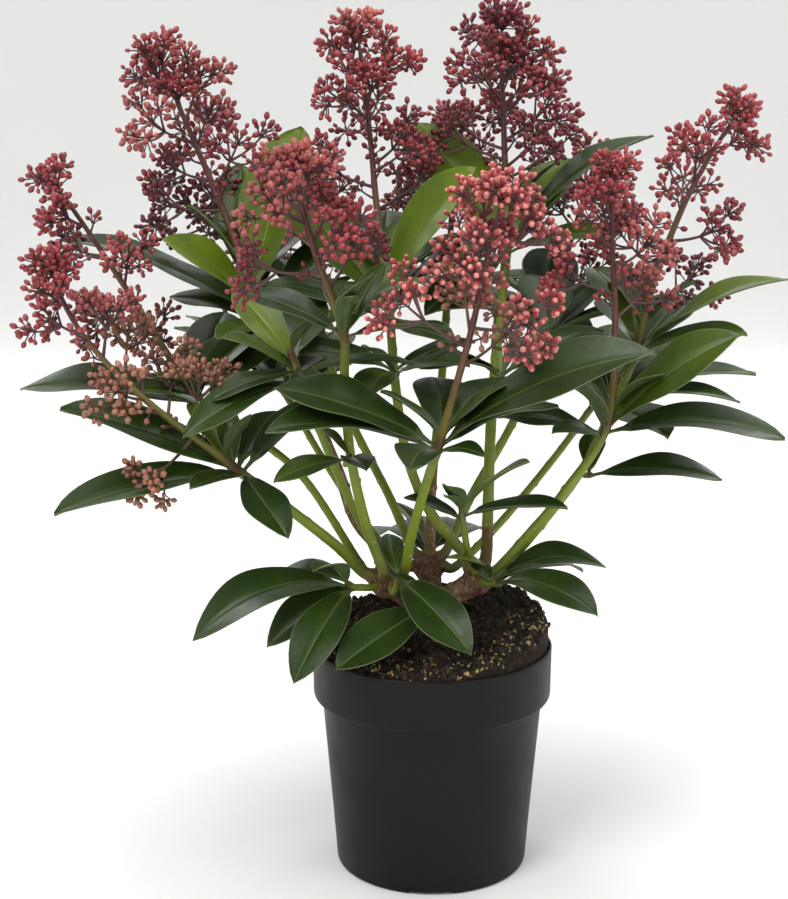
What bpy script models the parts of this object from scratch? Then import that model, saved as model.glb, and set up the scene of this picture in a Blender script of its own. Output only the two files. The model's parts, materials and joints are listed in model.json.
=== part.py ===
"""A skimmia in its nursery pot, with one closed solid for each limb, mass and flower head.

Frame: metres, +Z up, the origin at the centre of the pot's flat underside. -Y is the front.
Every shoot is one smooth line from a woody knot to the tip of its flower head. The line is cut
into a bough, a leafy stem and the axis of a flower head, which meet with a narrow gap.
"""
import math
import random
from collections import namedtuple

import bmesh
import bpy
from mathutils import Matrix, Vector
from mathutils.bvhtree import BVHTree

MM = 0.001
GAP = 0.3 * MM

# Pot: a nursery pot of 13 cm with a tall plain collar
POT_HEIGHT = 124 * MM
POT_RIM_RADIUS = 65 * MM
POT_NECK_RADIUS = 59.9 * MM
POT_BASE_RADIUS = 52.1 * MM
POT_COLLAR_HEIGHT = 29 * MM
POT_WALL = 1.7 * MM
POT_FLOOR = 4 * MM
POT_CORNER = 1.2 * MM
POT_STEPS = 32
NOTCH_SIZE = (24 * MM, 9 * MM, 3.6 * MM)
NOTCH_COUNT = 4

# Soil: a mound that lies level with the rim in front and stands proud of it behind
SOIL_RINGS = (18, 30, 42, 52)
SOIL_SHOULDER = 60.5 * MM
SOIL_SLOPE_X = 0.10
SOIL_SLOPE_Y = 0.13
SOIL_MIDDLE = 132.5 * MM
SOIL_LUMP = 1.4 * MM
SOIL_LUMP_PITCH = 42 * MM
SOIL_FIT = 1.3 * GAP
SOIL_EDGE_DROP = 2 * MM

# Trunk: a short stump whose flat cut stands on the soil
FOOT_CENTRE = Vector((2 * MM, -1 * MM, 0))
FOOT_LEVEL = 134 * MM
FOOT_RADIUS = 14.5 * MM
FOOT_FLAT = 18 * MM
FOOT_BLEND = 11 * MM
TRUNK_RADIUS = 10.4 * MM
TRUNK_CENTRE = Vector((0, 2 * MM, 141.8 * MM))
TRUNK_STEPS = 18
FLARE_LOBES = 5
FLARE_DEPTH = 0.13
TRUNK_CROWN = (60, 32, 6)
TRUNK_WAIST = ((1.0, 0.66), (1.1, 0.36))

# Limbs: three short woody arms that swell into the knots where the boughs start
LIMB_RADIUS = 6.2 * MM
KNOT_RADIUS = 8.2 * MM
LIMB_WAIST = (0.4, 0.95)
KNOT_TURNS = (125, 95, 60, 30, 12)
KNOTS = {
    "left": Vector((-25, 0, 157)) * MM,
    "right": Vector((24, 2, 158)) * MM,
    "back": Vector((-2, 28, 157)) * MM,
}

# Leaves: a folded blade on a short stalk
LEAF_STATIONS = ((0.0, 0.0), (0.32, 0.76), (0.69, 0.94))
LEAF_WIDTH_RATIO = 0.39
LEAF_THICKNESS = 1.4 * MM
LEAF_FOLD = 0.20
LEAF_ARCH = 0.07
FILL_LEAN = 12
STALK_HALF_WIDTH = 1.3 * MM
LEAF_CLEARANCE = 0.5 * MM
LEAF_FREE_FROM = 0.3
FILL_MARGINS = (3 * MM, 2 * MM)
FILL_STEP = 0.618

# Flower heads: sprays of buds, each spray a forked twig that swells to three knobs
SPRAY_TURN = math.radians(137.5)
SPRAY_LEAN = (64, 6)
SPRAY_CROWD = 2.8
SPRAY_FORK = math.radians(42)
SPRAY_FORK_AT = 0.6
SPRAY_VARY = (0.85, 1.15)
SIDE_BUD_REACH = 1.3
SIDE_BUD_SIZE = 0.9
TWIG_RADIUS = 0.9 * MM
TWIG_SIDES = 3
KNOB_RADIUS = 7.0 * MM
KNOB_STATIONS = ((-1.3, 0.14), (0.0, 1.0))
RACHIS_RADII = (2.1 * MM, 1.1 * MM)
HEAD_TOP = 21 * MM
HEAD_CLEARANCE = 0.5 * MM

# The space that the rule may fill with leaves and sprays
REACH_LOW = Vector((-232, -150, 116)) * MM
REACH_HIGH = Vector((188, 178, 466)) * MM

KEEP_SHARE = 0.7
SEED = 17
FRONT = -90
SHOWN_TURNS = (0, 6, -6, 12, -12, 18, -18)
RULE_TURNS = (0, 14, -14, 28, -28, 42, -42)
SPRAY_TURNS = (0, 20, -20, 40, -40, 60, -60, 80, -80)
LINE_STEP = 1.0 * MM
BOUGH_STUB = 8 * MM
SIDE_STUB = 4 * MM
END_STUB = 2.5 * MM
BOUGH_SPACING = 24 * MM
STEM_SPACING = 11 * MM
STEM_TAPER = 0.95
SIDE_TAPER = 0.9
SHARP_ANGLE = math.radians(38)

Shoot = namedtuple("Shoot", "name knot start way whorl leafy head radii")
Side = namedtuple("Side", "name carrier at start way radius")
Head = namedtuple("Head", "bare sprays reach width")
Fill = namedtuple("Fill", "count first span rise length")

# Shoots. Places and radii are in millimetres, and start is the azimuth and elevation at the knot.
SHOOTS = (
    Shoot("left_low", "left", (190, 30), ((-50, -12, 180), (-74, -20, 202)),
          (-102, -30, 227), 17, ((-151, -30, 266), (-182, -30, 302), (-198, -30, 342)), (3.0, 2.5)),
    Shoot("left", "left", (148, 22), ((-69, 3, 214), (-100, 10, 238)),
          (-126, 14, 255), 18, ((-164, 20, 313), (-190, 20, 354), (-208, 20, 379)), (2.3, 2.0)),
    Shoot("left_high", "left", (100, 55), ((-42, 10, 190), (-52, 13, 218), (-72, 20, 262)),
          (-95, 25, 306), 34, ((-112, 30, 353), (-132, 30, 402), (-149, 30, 445)), (3.5, 2.5)),
    Shoot("front_left", "left", (262, 45), ((-35, -20, 195), (-42, -36, 235), (-44, -55, 275)),
          (-44, -68, 305), 18, ((-57, -80, 346), (-69, -90, 394)), (2.8, 2.3)),
    Shoot("mid_left", "left", (200, 75), ((-40, -5, 195), (-54, -19, 232)),
          (-69, -38, 281), 22, (), (2.2, 2.0)),
    Shoot("front", "left", (318, 35), ((-11, -30, 192), (-4, -50, 222)),
          (3, -68, 249), 14, ((17, -90, 305), (25, -100, 345), (32, -110, 380)), (2.7, 2.4)),
    Shoot("centre", "right", (150, 60), ((-2, 0, 198), (-14, 0, 228), (-20, 3, 265)),
          (-24, 14, 308), 30, ((-30, 30, 350), (-35, 36, 400), (-42, 40, 458)), (3.0, 2.4)),
    Shoot("right_high", "right", (60, 50), ((30, 9, 205), (31, 14, 240), (35, 33, 290)),
          (40, 52, 336), 24, ((39, 60, 369), (37, 66, 415), (35, 70, 462)), (3.2, 2.5)),
    Shoot("right", "right", (325, 35), ((50, -9, 186), (70, -11, 212)),
          (91, -12, 248), 20, ((93, -16, 300), (90, -18, 345), (89, -20, 388)), (2.6, 2.3)),
    Shoot("right_far", "right", (20, 22), ((58, 9, 187), (80, 10, 218), (96, 12, 252)),
          (109, 14, 286), 24, ((116, 16, 318), (134, 18, 366), (163, 20, 417)), (2.6, 2.2)),
    Shoot("back_left", "back", (140, 38), ((-25, 56, 192), (-50, 84, 235)),
          (-66, 104, 280), 20, ((-76, 120, 325), (-88, 136, 385)), (2.7, 2.3)),
    Shoot("back", "back", (85, 65), ((0, 56, 205), (5, 92, 255)),
          (8, 112, 300), 20, ((10, 124, 340), (12, 138, 405)), (2.8, 2.3)),
    Shoot("back_right", "back", (35, 38), ((22, 56, 192), (48, 78, 235)),
          (66, 96, 280), 20, ((78, 112, 325), (96, 128, 385)), (2.7, 2.3)),
    Shoot("back_low_left", "back", (180, 10), ((-40, 50, 180), (-66, 72, 214)),
          (-88, 92, 246), 18, ((-116, 116, 272), (-136, 132, 318)), (2.4, 2.0)),
    Shoot("back_low_right", "back", (355, 10), ((40, 50, 180), (70, 70, 212)),
          (94, 88, 240), 18, ((122, 112, 268), (140, 130, 316)), (2.4, 2.0)),
)

# Short side shoots that carry leaves only, from a knot, the trunk or the middle of a bough
SIDES = (
    Side("basal_left", "knot_left", None, (225, 0), ((-45, -18, 160),), 2.0),
    Side("basal_middle", "knot_left", None, (292, -8), ((-18, -18, 166),), 1.8),
    Side("basal_front", "trunk", None, (262, 8), ((0, -17, 149), (-1, -24, 155)), 2.0),
    Side("basal_right", "knot_right", None, (293, 10), ((36, -14, 161),), 2.0),
    Side("basal_back", "knot_back", None, (92, -2), ((-2, 52, 161),), 2.0),
    Side("side_centre", "knot_right", None, (255, 50), ((18, -12, 182), (15, -17, 204)), 1.9),
    Side("side_left", "front_left", 0.52, (250, 20), ((-42, -46, 238),), 1.7),
    Side("side_right", "right_far", 0.52, (300, 10), ((84, -2, 218),), 1.7),
    Side("side_mid", "centre", 0.76, (270, 25), ((-19, -14, 274),), 1.8),
    Side("side_high", "right_high", 0.66, (280, 25), ((36, 6, 268),), 1.8),
)

# Leaves that show: distance below the top of the stem, heading, rise, length and lean
LEAVES = {
    "left_low": ((14, 180, 18, 102, 8), (13, -160, -8, 98, 12), (14, -60, -20, 56, 25),
                 (15, -122, 5, 44, 20), (8, 110, 65, 34, 15)),
    "left": ((14, 180, 5, 100, 8), (12, -116, 28, 46, 20), (15, -128, 18, 56, 20),
             (14, 125, 10, 60, 20)),
    "left_high": ((31, 180, 20, 124, 2), (26, -142, 37, 76, 30), (16, 105, 54, 86, 20),
                  (13, 60, 62, 100, 10), (29, 168, 10, 62, 20), (32, -115, 2, 52, 20)),
    "front_left": ((14, -65, 50, 48, 25), (13, 22, 58, 42, 15), (12, 168, 22, 56, 15)),
    "mid_left": ((14, -155, 28, 45, 20), (13, -162, -16, 46, 20), (18, -148, -20, 68, 15),
                 (12, -75, -10, 44, 25), (9, 140, 40, 56, 20)),
    "front": ((9, 170, 22, 86, 22), (11, -160, 12, 88, 12), (9, -14, 28, 116, 18),
              (12, -108, 4, 60, 30), (12, -40, 5, 30, 20)),
    "centre": ((18, 158, 46, 98, 25), (15, -28, 55, 88, 30), (16, 92, 34, 84, 15),
               (27, -135, 30, 38, 20), (28, -45, -5, 48, 20), (26, 178, 18, 70, 20)),
    "right_high": ((20, 140, 50, 92, 30), (13, 38, 42, 66, 30), (14, 12, 40, 98, 5),
                   (22, -62, -40, 52, 20), (21, -145, -25, 60, 20), (18, -20, 12, 62, 20)),
    "right": ((15, -12, 2, 92, 14), (13, -20, 39, 86, 30), (18, -135, 14, 40, 25),
              (14, -128, 40, 58, 20), (16, 175, 8, 56, 15)),
    "right_far": ((15, -8, 29, 86, 5), (14, 105, 52, 54, 25), (17, -28, 14, 62, 20),
                  (20, -150, 22, 36, 20), (18, 60, 20, 70, 15)),
    "basal_left": ((4, -158, -10, 90, 18), (8, 158, -8, 62, 5), (3, -120, -33, 66, 35),
                   (9, -140, -24, 60, 25)),
    "basal_middle": ((2, -52, -21, 66, 40),),
    "basal_front": ((5, -136, -17, 70, 35), (2, -85, -8, 34, 20)),
    "basal_right": ((3, -42, -3, 68, 20), (6, 0, 9, 62, 10), (3, 40, 0, 60, 10)),
    "basal_back": ((3, 60, -4, 74, 10), (5, 115, -4, 76, 10), (8, 90, 8, 60, 10)),
    "side_centre": ((2, -35, 38, 52, 10), (5, -12, 7, 56, 5), (3, -110, 40, 32, 10),
                    (8, 165, 20, 34, 10), (34, -68, -6, 26, 20)),
    "side_left": ((3, -150, -9, 42, 22), (3, -75, 6, 42, 20)),
    "side_right": ((3, -10, 3, 70, 16), (5, -120, 20, 34, 15)),
    "side_mid": ((3, -108, -4, 52, 20), (6, -165, 12, 62, 20), (3, -45, 10, 54, 20)),
    "side_high": ((3, -55, 40, 50, 20), (6, -140, 8, 56, 20), (3, 10, 22, 60, 20)),
}

# Leaves that fill the hidden sides of each leafy stem
FILLS = {
    "left_low": Fill(4, 35, 100, (5, 30), (70, 88)),
    "left": Fill(3, 30, 90, (5, 32), (66, 84)),
    "left_high": Fill(3, 20, 120, (10, 40), (70, 88)),
    "front_left": Fill(3, 10, 130, (0, 30), (52, 66)),
    "mid_left": Fill(2, 30, 70, (5, 30), (56, 70)),
    "front": Fill(3, 25, 110, (5, 30), (60, 78)),
    "centre": Fill(3, 20, 110, (15, 45), (66, 82)),
    "right_high": Fill(3, 60, 120, (5, 35), (70, 88)),
    "right": Fill(3, 20, 100, (5, 35), (66, 84)),
    "right_far": Fill(2, 70, 60, (5, 35), (66, 84)),
    "back_left": Fill(8, 0, 360, (5, 40), (70, 92)),
    "back": Fill(8, 20, 360, (5, 40), (64, 90)),
    "back_right": Fill(8, 40, 360, (5, 40), (70, 92)),
    "back_low_left": Fill(9, 40, 230, (-8, 42), (74, 96)),
    "back_low_right": Fill(9, -70, 230, (-8, 42), (74, 96)),
    "side_mid": Fill(1, 10, 20, (10, 20), (44, 50)),
}

# Flower heads: the bare part of the axis, number of sprays, longest and shortest branch, size
HEADS = {
    "left_low": Head(0.04, 9, (32, 12), 1.0),
    "left": Head(0.22, 6, (27, 11), 1.0),
    "left_high": Head(0.20, 8, (36, 12), 1.1),
    "front_left": Head(0.20, 7, (32, 12), 1.0),
    "front": Head(0.34, 8, (38, 13), 1.1),
    "centre": Head(0.30, 8, (34, 12), 1.05),
    "right_high": Head(0.24, 8, (40, 13), 1.1),
    "right": Head(0.42, 6, (30, 12), 1.0),
    "right_far": Head(0.10, 7, (34, 12), 1.0),
    "back_left": Head(0.28, 5, (34, 13), 1.15),
    "back": Head(0.28, 5, (34, 13), 1.15),
    "back_right": Head(0.28, 5, (34, 13), 1.15),
}

Finish = namedtuple("Finish", "colour roughness")
FINISHES = {
    "pot": Finish((0.016, 0.016, 0.018), 0.52),
    "soil": Finish((0.045, 0.026, 0.014), 0.95),
    "wood": Finish((0.22, 0.135, 0.055), 0.8),
    "bough": Finish((0.17, 0.22, 0.035), 0.6),
    "leaves": Finish((0.022, 0.070, 0.018), 0.38),
    "head": Finish((0.27, 0.035, 0.045), 0.5),
}


def direction(heading, rise):
    """Unit vector for a heading in the plan and a rise above it, both in degrees."""
    h = math.radians(heading)
    r = math.radians(rise)
    return Vector((math.cos(h) * math.cos(r), math.sin(h) * math.cos(r), math.sin(r)))


def mix(a, b, t):
    return a + (b - a) * t


def smooth_step(t):
    t = min(max(t, 0.0), 1.0)
    return t * t * (3 - 2 * t)


class Line:
    """A smooth line through points, read by the distance from its start."""

    def __init__(self, points):
        ends = [points[0] * 2 - points[1], *points, points[-1] * 2 - points[-2]]
        self.points = [points[0].copy()]
        for a, b, c, d in zip(ends, ends[1:], ends[2:], ends[3:]):
            steps = max(2, math.ceil((c - b).length / LINE_STEP))
            for i in range(1, steps + 1):
                self.points.append(self.blend(a, b, c, d, i / steps))
        self.marks = [0.0]
        for a, b in zip(self.points, self.points[1:]):
            self.marks.append(self.marks[-1] + (b - a).length)
        self.length = self.marks[-1]

    @staticmethod
    def blend(a, b, c, d, t):
        """Point at t between b and c on the cubic through a, b, c and d."""
        return 0.5 * (2 * b + (c - a) * t + (2 * a - 5 * b + 4 * c - d) * t * t
                      + (3 * b - a - 3 * c + d) * t ** 3)

    def at(self, s):
        for i, mark in enumerate(self.marks[1:]):
            if s <= mark:
                part = (s - self.marks[i]) / (mark - self.marks[i])
                return self.points[i].lerp(self.points[i + 1], part)
        return self.points[-1].copy()

    def tangent(self, s):
        step = LINE_STEP
        return (self.at(min(s + step, self.length)) - self.at(max(s - step, 0))).normalized()

    def nearest(self, place):
        """Distance along the line of its point nearest to a place."""
        index = min(range(len(self.points)), key=lambda i: (self.points[i] - place).length)
        return self.marks[index]

    def run(self, start, end, spacing, stub=END_STUB):
        """Evenly spaced points between two distances, with a short stretch at both ends, so
        that a tube's end faces stand square to the line."""
        first, last = start + stub, end - END_STUB
        count = max(1, round((last - first) / spacing))
        inner = [self.at(mix(first, last, i / count)) for i in range(count + 1)]
        return [self.at(start), *inner, self.at(end)]


def even_radii(points, first, last):
    return [mix(first, last, i / (len(points) - 1)) for i in range(len(points))]


def collection(name):
    made = bpy.data.collections.new(name)
    bpy.context.scene.collection.children.link(made)
    return made


def finish(obj, kind):
    """Give an object its own Principled material, and shade a mesh smooth up to sharp edges."""
    if obj.type == "MESH":
        obj.data.shade_smooth()
        obj.data.set_sharp_from_angle(angle=SHARP_ANGLE)
    look = FINISHES[kind]
    material = bpy.data.materials.new(obj.name)
    material.use_nodes = True
    shader = material.node_tree.nodes["Principled BSDF"]
    shader.inputs["Base Color"].default_value = (*look.colour, 1)
    shader.inputs["Roughness"].default_value = look.roughness
    shader.inputs["Metallic"].default_value = 0.0
    obj.data.materials.clear()
    obj.data.materials.append(material)


def tube(name, points, radii, home, sides=6):
    """A curve with a tapering bevel and filled caps."""
    data = bpy.data.curves.new(name, "CURVE")
    data.dimensions = "3D"
    data.bevel_depth = MM
    data.bevel_resolution = (sides - 4) // 2
    data.use_fill_caps = True
    spline = data.splines.new("POLY")
    spline.points.add(len(points) - 1)
    for knot, point, radius in zip(spline.points, points, radii):
        knot.co = (*point, 1)
        knot.radius = radius / MM
    obj = bpy.data.objects.new(name, data)
    home.objects.link(obj)
    return obj


def evaluated_bmesh(obj):
    """The object's evaluated mesh in world space, with the curve's caps welded."""
    bpy.context.view_layer.update()
    graph = bpy.context.evaluated_depsgraph_get()
    mesh = bpy.data.meshes.new_from_object(obj.evaluated_get(graph))
    bm = bmesh.new()
    bm.from_mesh(mesh)
    bpy.data.meshes.remove(mesh)
    bmesh.ops.transform(bm, matrix=obj.matrix_world, verts=bm.verts)
    bmesh.ops.remove_doubles(bm, verts=bm.verts, dist=0.01 * MM)
    return bm


def tube_bmesh(points, radii, home, sides=6):
    """A tapering tube as a closed mesh, made from a curve that is then removed."""
    curve = tube("tube", points, radii, home, sides)
    bm = evaluated_bmesh(curve)
    bmesh.ops.triangulate(bm, faces=bm.faces)
    data = curve.data
    bpy.data.objects.remove(curve)
    bpy.data.curves.remove(data)
    return bm


def turned(name, profile, steps, home):
    """A solid of revolution about Z from a profile of (radius, height), with a Screw."""
    mesh = bpy.data.meshes.new(name)
    points = [(radius, 0, height) for radius, height in profile]
    edges = [(i, i + 1) for i in range(len(points) - 1)]
    mesh.from_pydata(points, edges, [])
    obj = bpy.data.objects.new(name, mesh)
    home.objects.link(obj)
    screw = obj.modifiers.new("turn", "SCREW")
    screw.steps = steps
    screw.render_steps = steps
    screw.use_merge_vertices = True
    screw.merge_threshold = 0.05 * MM
    apply_modifiers(obj)
    return obj


def apply_modifiers(obj):
    """Swap the object's mesh for its evaluated one and drop the modifiers."""
    bpy.context.view_layer.update()
    graph = bpy.context.evaluated_depsgraph_get()
    mesh = bpy.data.meshes.new_from_object(obj.evaluated_get(graph))
    old = obj.data
    obj.modifiers.clear()
    obj.data = mesh
    bpy.data.meshes.remove(old)


def pot_profile():
    """Inner side upwards, over the rim and down the outer side to the middle of the base."""
    collar_foot = POT_HEIGHT - POT_COLLAR_HEIGHT
    round_in = POT_CORNER * 1.6
    inner_rim = POT_RIM_RADIUS - POT_WALL
    inner_neck = POT_NECK_RADIUS - POT_WALL
    inner_base = POT_BASE_RADIUS - POT_WALL
    return [
        (0, POT_FLOOR),
        (inner_base, POT_FLOOR),
        (inner_neck, collar_foot - POT_WALL / 2),
        (inner_rim - POT_WALL / 3, collar_foot + 2 * POT_WALL),
        (inner_rim, POT_HEIGHT - POT_CORNER / 2),
        (inner_rim + POT_CORNER / 3, POT_HEIGHT),
        (POT_RIM_RADIUS - POT_CORNER / 3, POT_HEIGHT),
        (POT_RIM_RADIUS, POT_HEIGHT - POT_CORNER / 2),
        (POT_RIM_RADIUS - POT_CORNER / 3, collar_foot + round_in),
        (POT_RIM_RADIUS - POT_CORNER, collar_foot + round_in / 4),
        (POT_RIM_RADIUS - 2 * POT_CORNER, collar_foot),
        (POT_NECK_RADIUS, collar_foot),
        (POT_BASE_RADIUS, POT_CORNER),
        (POT_BASE_RADIUS - POT_CORNER, 0),
        (0, 0),
    ]


def make_pot(home, cutters):
    """The pot: a turned shell with shallow notches in the edge of its base."""
    pot = turned("pot", pot_profile(), POT_STEPS, home)
    bm = bmesh.new()
    for i in range(NOTCH_COUNT):
        turn = Matrix.Rotation(math.tau * i / NOTCH_COUNT, 4, "Z")
        place = Matrix.Translation((0, -POT_BASE_RADIUS, 0))
        size = Matrix.Diagonal((*NOTCH_SIZE, 1))
        bmesh.ops.create_cube(bm, size=1.0, matrix=turn @ place @ size)
    mesh = bpy.data.meshes.new("pot_notches")
    bm.to_mesh(mesh)
    bm.free()
    cutter = bpy.data.objects.new("pot_notches", mesh)
    cutters.objects.link(cutter)
    cutter.hide_render = True
    cutter.display_type = "WIRE"
    cut = pot.modifiers.new("notches", "BOOLEAN")
    cut.operation = "DIFFERENCE"
    cut.object = cutter
    finish(pot, "pot")
    return pot


def soil_level(x, y):
    """Height of the soil's surface, flat under the stump and rising to the back and right."""
    away = math.hypot(x - FOOT_CENTRE.x, y - FOOT_CENTRE.y)
    share = smooth_step((away - FOOT_FLAT) / FOOT_BLEND)
    pitch = math.tau / SOIL_LUMP_PITCH
    lumps = SOIL_LUMP * math.sin(pitch * x + 1) * math.cos(1.2 * pitch * y)
    open_level = SOIL_MIDDLE + SOIL_SLOPE_X * x + SOIL_SLOPE_Y * y + lumps
    return mix(FOOT_LEVEL, max(open_level, POT_HEIGHT + MM), share)


def make_soil(home):
    """The soil: a turned plug in the pot whose top is moved to the mound."""
    collar_foot = POT_HEIGHT - POT_COLLAR_HEIGHT
    radius = POT_RIM_RADIUS - POT_WALL - SOIL_FIT
    top = POT_HEIGHT
    profile = [(0, top)]
    profile += [(ring * MM, top) for ring in SOIL_RINGS]
    profile += [
        (SOIL_SHOULDER, top),
        (radius - GAP, top - MM),
        (radius, top - 3 * MM),
        (radius - POT_WALL / 3, collar_foot + 3 * POT_WALL),
        (POT_NECK_RADIUS - POT_WALL - SOIL_FIT, collar_foot - POT_WALL / 2),
        (POT_BASE_RADIUS - POT_WALL - SOIL_FIT, POT_FLOOR + GAP),
        (0, POT_FLOOR + GAP),
    ]
    soil = turned("soil", profile, POT_STEPS, home)
    for vertex in soil.data.vertices:
        x, y, z = vertex.co
        if z > top - 0.1 * MM:
            vertex.co.z = soil_level(x, y)
        elif z > top - 2 * MM:
            vertex.co.z = soil_level(x, y) - SOIL_EDGE_DROP
    finish(soil, "soil")
    return soil


def make_trunk(home):
    """The stump: turned, then given root lobes at its foot and a slight lean."""
    centre = TRUNK_CENTRE.z
    foot = FOOT_LEVEL + GAP
    profile = [(0, centre + TRUNK_RADIUS)]
    profile += [(TRUNK_RADIUS * math.cos(math.radians(a)),
                 centre + TRUNK_RADIUS * math.sin(math.radians(a))) for a in TRUNK_CROWN]
    profile += [(width * TRUNK_RADIUS, mix(foot, centre, t)) for width, t in TRUNK_WAIST]
    profile += [(FOOT_RADIUS, foot), (0, foot)]
    trunk = turned("trunk", profile, TRUNK_STEPS, home)
    for vertex in trunk.data.vertices:
        x, y, z = vertex.co
        low = 1 - smooth_step((z - foot) / (centre - foot))
        lobes = 1 + low * FLARE_DEPTH * math.cos(FLARE_LOBES * math.atan2(y, x))
        lean = FOOT_CENTRE.lerp(TRUNK_CENTRE, min((z - foot) / (centre - foot), 1))
        vertex.co = (x * lobes + lean.x, y * lobes + lean.y, z)
    finish(trunk, "wood")
    return trunk


def make_limb(side, home):
    """A short arm from the stump that ends in a rounded knot."""
    centre = KNOTS[side]
    axis = (centre - TRUNK_CENTRE).normalized()
    start = TRUNK_CENTRE + axis * (TRUNK_RADIUS + 1.5 * GAP)
    waist, width = LIMB_WAIST
    stations = [(start, LIMB_RADIUS), (start.lerp(centre, waist), width * LIMB_RADIUS)]
    for angle in KNOT_TURNS:
        turn = math.radians(angle)
        place = centre + axis * (KNOT_RADIUS * math.cos(turn))
        stations.append((place, KNOT_RADIUS * math.sin(turn)))
    points = [place for place, _ in stations]
    limb = tube(f"limb_{side}", points, [radius for _, radius in stations], home, 8)
    finish(limb, "wood")
    return limb


def loft(rings, tip):
    """A closed skin through rings of equal size, capped at the first and drawn to a tip."""
    bm = bmesh.new()
    rows = [[bm.verts.new(point) for point in ring] for ring in rings]
    end = bm.verts.new(tip)
    size = len(rows[0])
    bm.faces.new(rows[0])
    for low, high in zip(rows, rows[1:]):
        for i in range(size):
            j = (i + 1) % size
            bm.faces.new((low[i], low[j], high[j], high[i]))
    for i in range(size):
        bm.faces.new((rows[-1][i], rows[-1][(i + 1) % size], end))
    bmesh.ops.recalc_face_normals(bm, faces=bm.faces)
    bmesh.ops.triangulate(bm, faces=bm.faces)
    return bm


def leaf_bmesh(base, heading, rise, length, lean, grow=0.0, first=0.0):
    """A folded blade from its root to its tip. Lean is the azimuth its upper side turns to and
    how far it turns.
    With grow it is a fatter copy, for testing clearances, and with first it leaves out the
    stations next to the root."""
    along = direction(heading, rise)
    side = direction(lean[0], 90 - lean[1]).cross(along).normalized()
    up = along.cross(side)
    rings = []
    for t, width in LEAF_STATIONS:
        if t < first:
            continue
        arch = LEAF_ARCH * length * 4 * t * (1 - t)
        middle = base + along * (length * t) + up * arch
        half = max(width * length * LEAF_WIDTH_RATIO / 2, STALK_HALF_WIDTH) + grow
        thick = LEAF_THICKNESS / 2 + grow
        lift = up * (LEAF_FOLD * half)
        rings.append((middle - side * half + lift, middle - up * thick,
                      middle + side * half + lift, middle + up * thick))
    return loft(rings, base + along * (length + grow))


def bud_twig(start, way, length, size, grow=0.0):
    """A three-sided twig that swells to a knob at its end."""
    side = way.orthogonal().normalized()
    other = way.cross(side)
    radius = TWIG_RADIUS + grow
    stations = [(0.0, radius)]
    stations += [(length + at * size, share * size + grow) for at, share in KNOB_STATIONS]
    rings = []
    for at, reach in stations:
        middle = start + way * at
        turns = [math.tau * i / TWIG_SIDES for i in range(TWIG_SIDES)]
        rings.append([middle + (side * math.cos(a) + other * math.sin(a)) * reach for a in turns])
    return loft(rings, start + way * (length + size + grow))


def spray_pieces(base, along, length, size, grow=0.0):
    """The three bud twigs of a forked spray."""
    side = along.orthogonal().normalized()
    made = [bud_twig(base, along, length, size, grow)]
    fork = base + along * (length * SPRAY_FORK_AT)
    for lean in (side, -side):
        way = (along * math.cos(SPRAY_FORK) + lean * math.sin(SPRAY_FORK)).normalized()
        reach = length * (1 - SPRAY_FORK_AT) + SIDE_BUD_REACH * size
        made.append(bud_twig(fork, way, reach, SIDE_BUD_SIZE * size, grow))
    return made


def tree_of(bm):
    return BVHTree.FromBMesh(bm)


def bounds_of(bm):
    low = Vector(min(v.co[i] for v in bm.verts) for i in range(3))
    high = Vector(max(v.co[i] for v in bm.verts) for i in range(3))
    return low, high


class Space:
    """What has been placed so far: a search tree and a box for each piece, by node."""

    def __init__(self):
        self.taken = []

    def add(self, node, bm):
        self.taken.append((node, *bounds_of(bm), tree_of(bm)))

    def is_free(self, bm, but=None):
        """True within the reach where no placed piece is touched, other than one node's."""
        low, high = bounds_of(bm)
        if any(low[i] < REACH_LOW[i] or high[i] > REACH_HIGH[i] for i in range(3)):
            return False
        tree = tree_of(bm)
        for node, other_low, other_high, other in self.taken:
            if node == but:
                continue
            if any(low[i] > other_high[i] or high[i] < other_low[i] for i in range(3)):
                continue
            if tree.overlap(other):
                return False
        return True


class Mass:
    """The closed pieces that are fused into one node."""

    def __init__(self, name, kind, stem, line, start, end):
        self.name = name
        self.kind = kind
        self.pieces = [stem]
        self.line = line
        self.start = start
        self.end = end

    def add(self, bm, space):
        self.pieces.append(bm)
        space.add(self.name, bm)


def shoot_line(shoot):
    """The smooth line of a shoot from its knot to its tip."""
    centre = KNOTS[shoot.knot]
    way = direction(*shoot.start)
    start = centre + way * (KNOT_RADIUS + 1.5 * GAP)
    points = [start, start + way * BOUGH_STUB]
    points += [Vector(place) * MM for place in (*shoot.way, shoot.whorl, *shoot.head)]
    if not shoot.head:
        points.append(points[-1] * 1.5 - points[-2] * 0.5)
    return Line(points)


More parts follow.
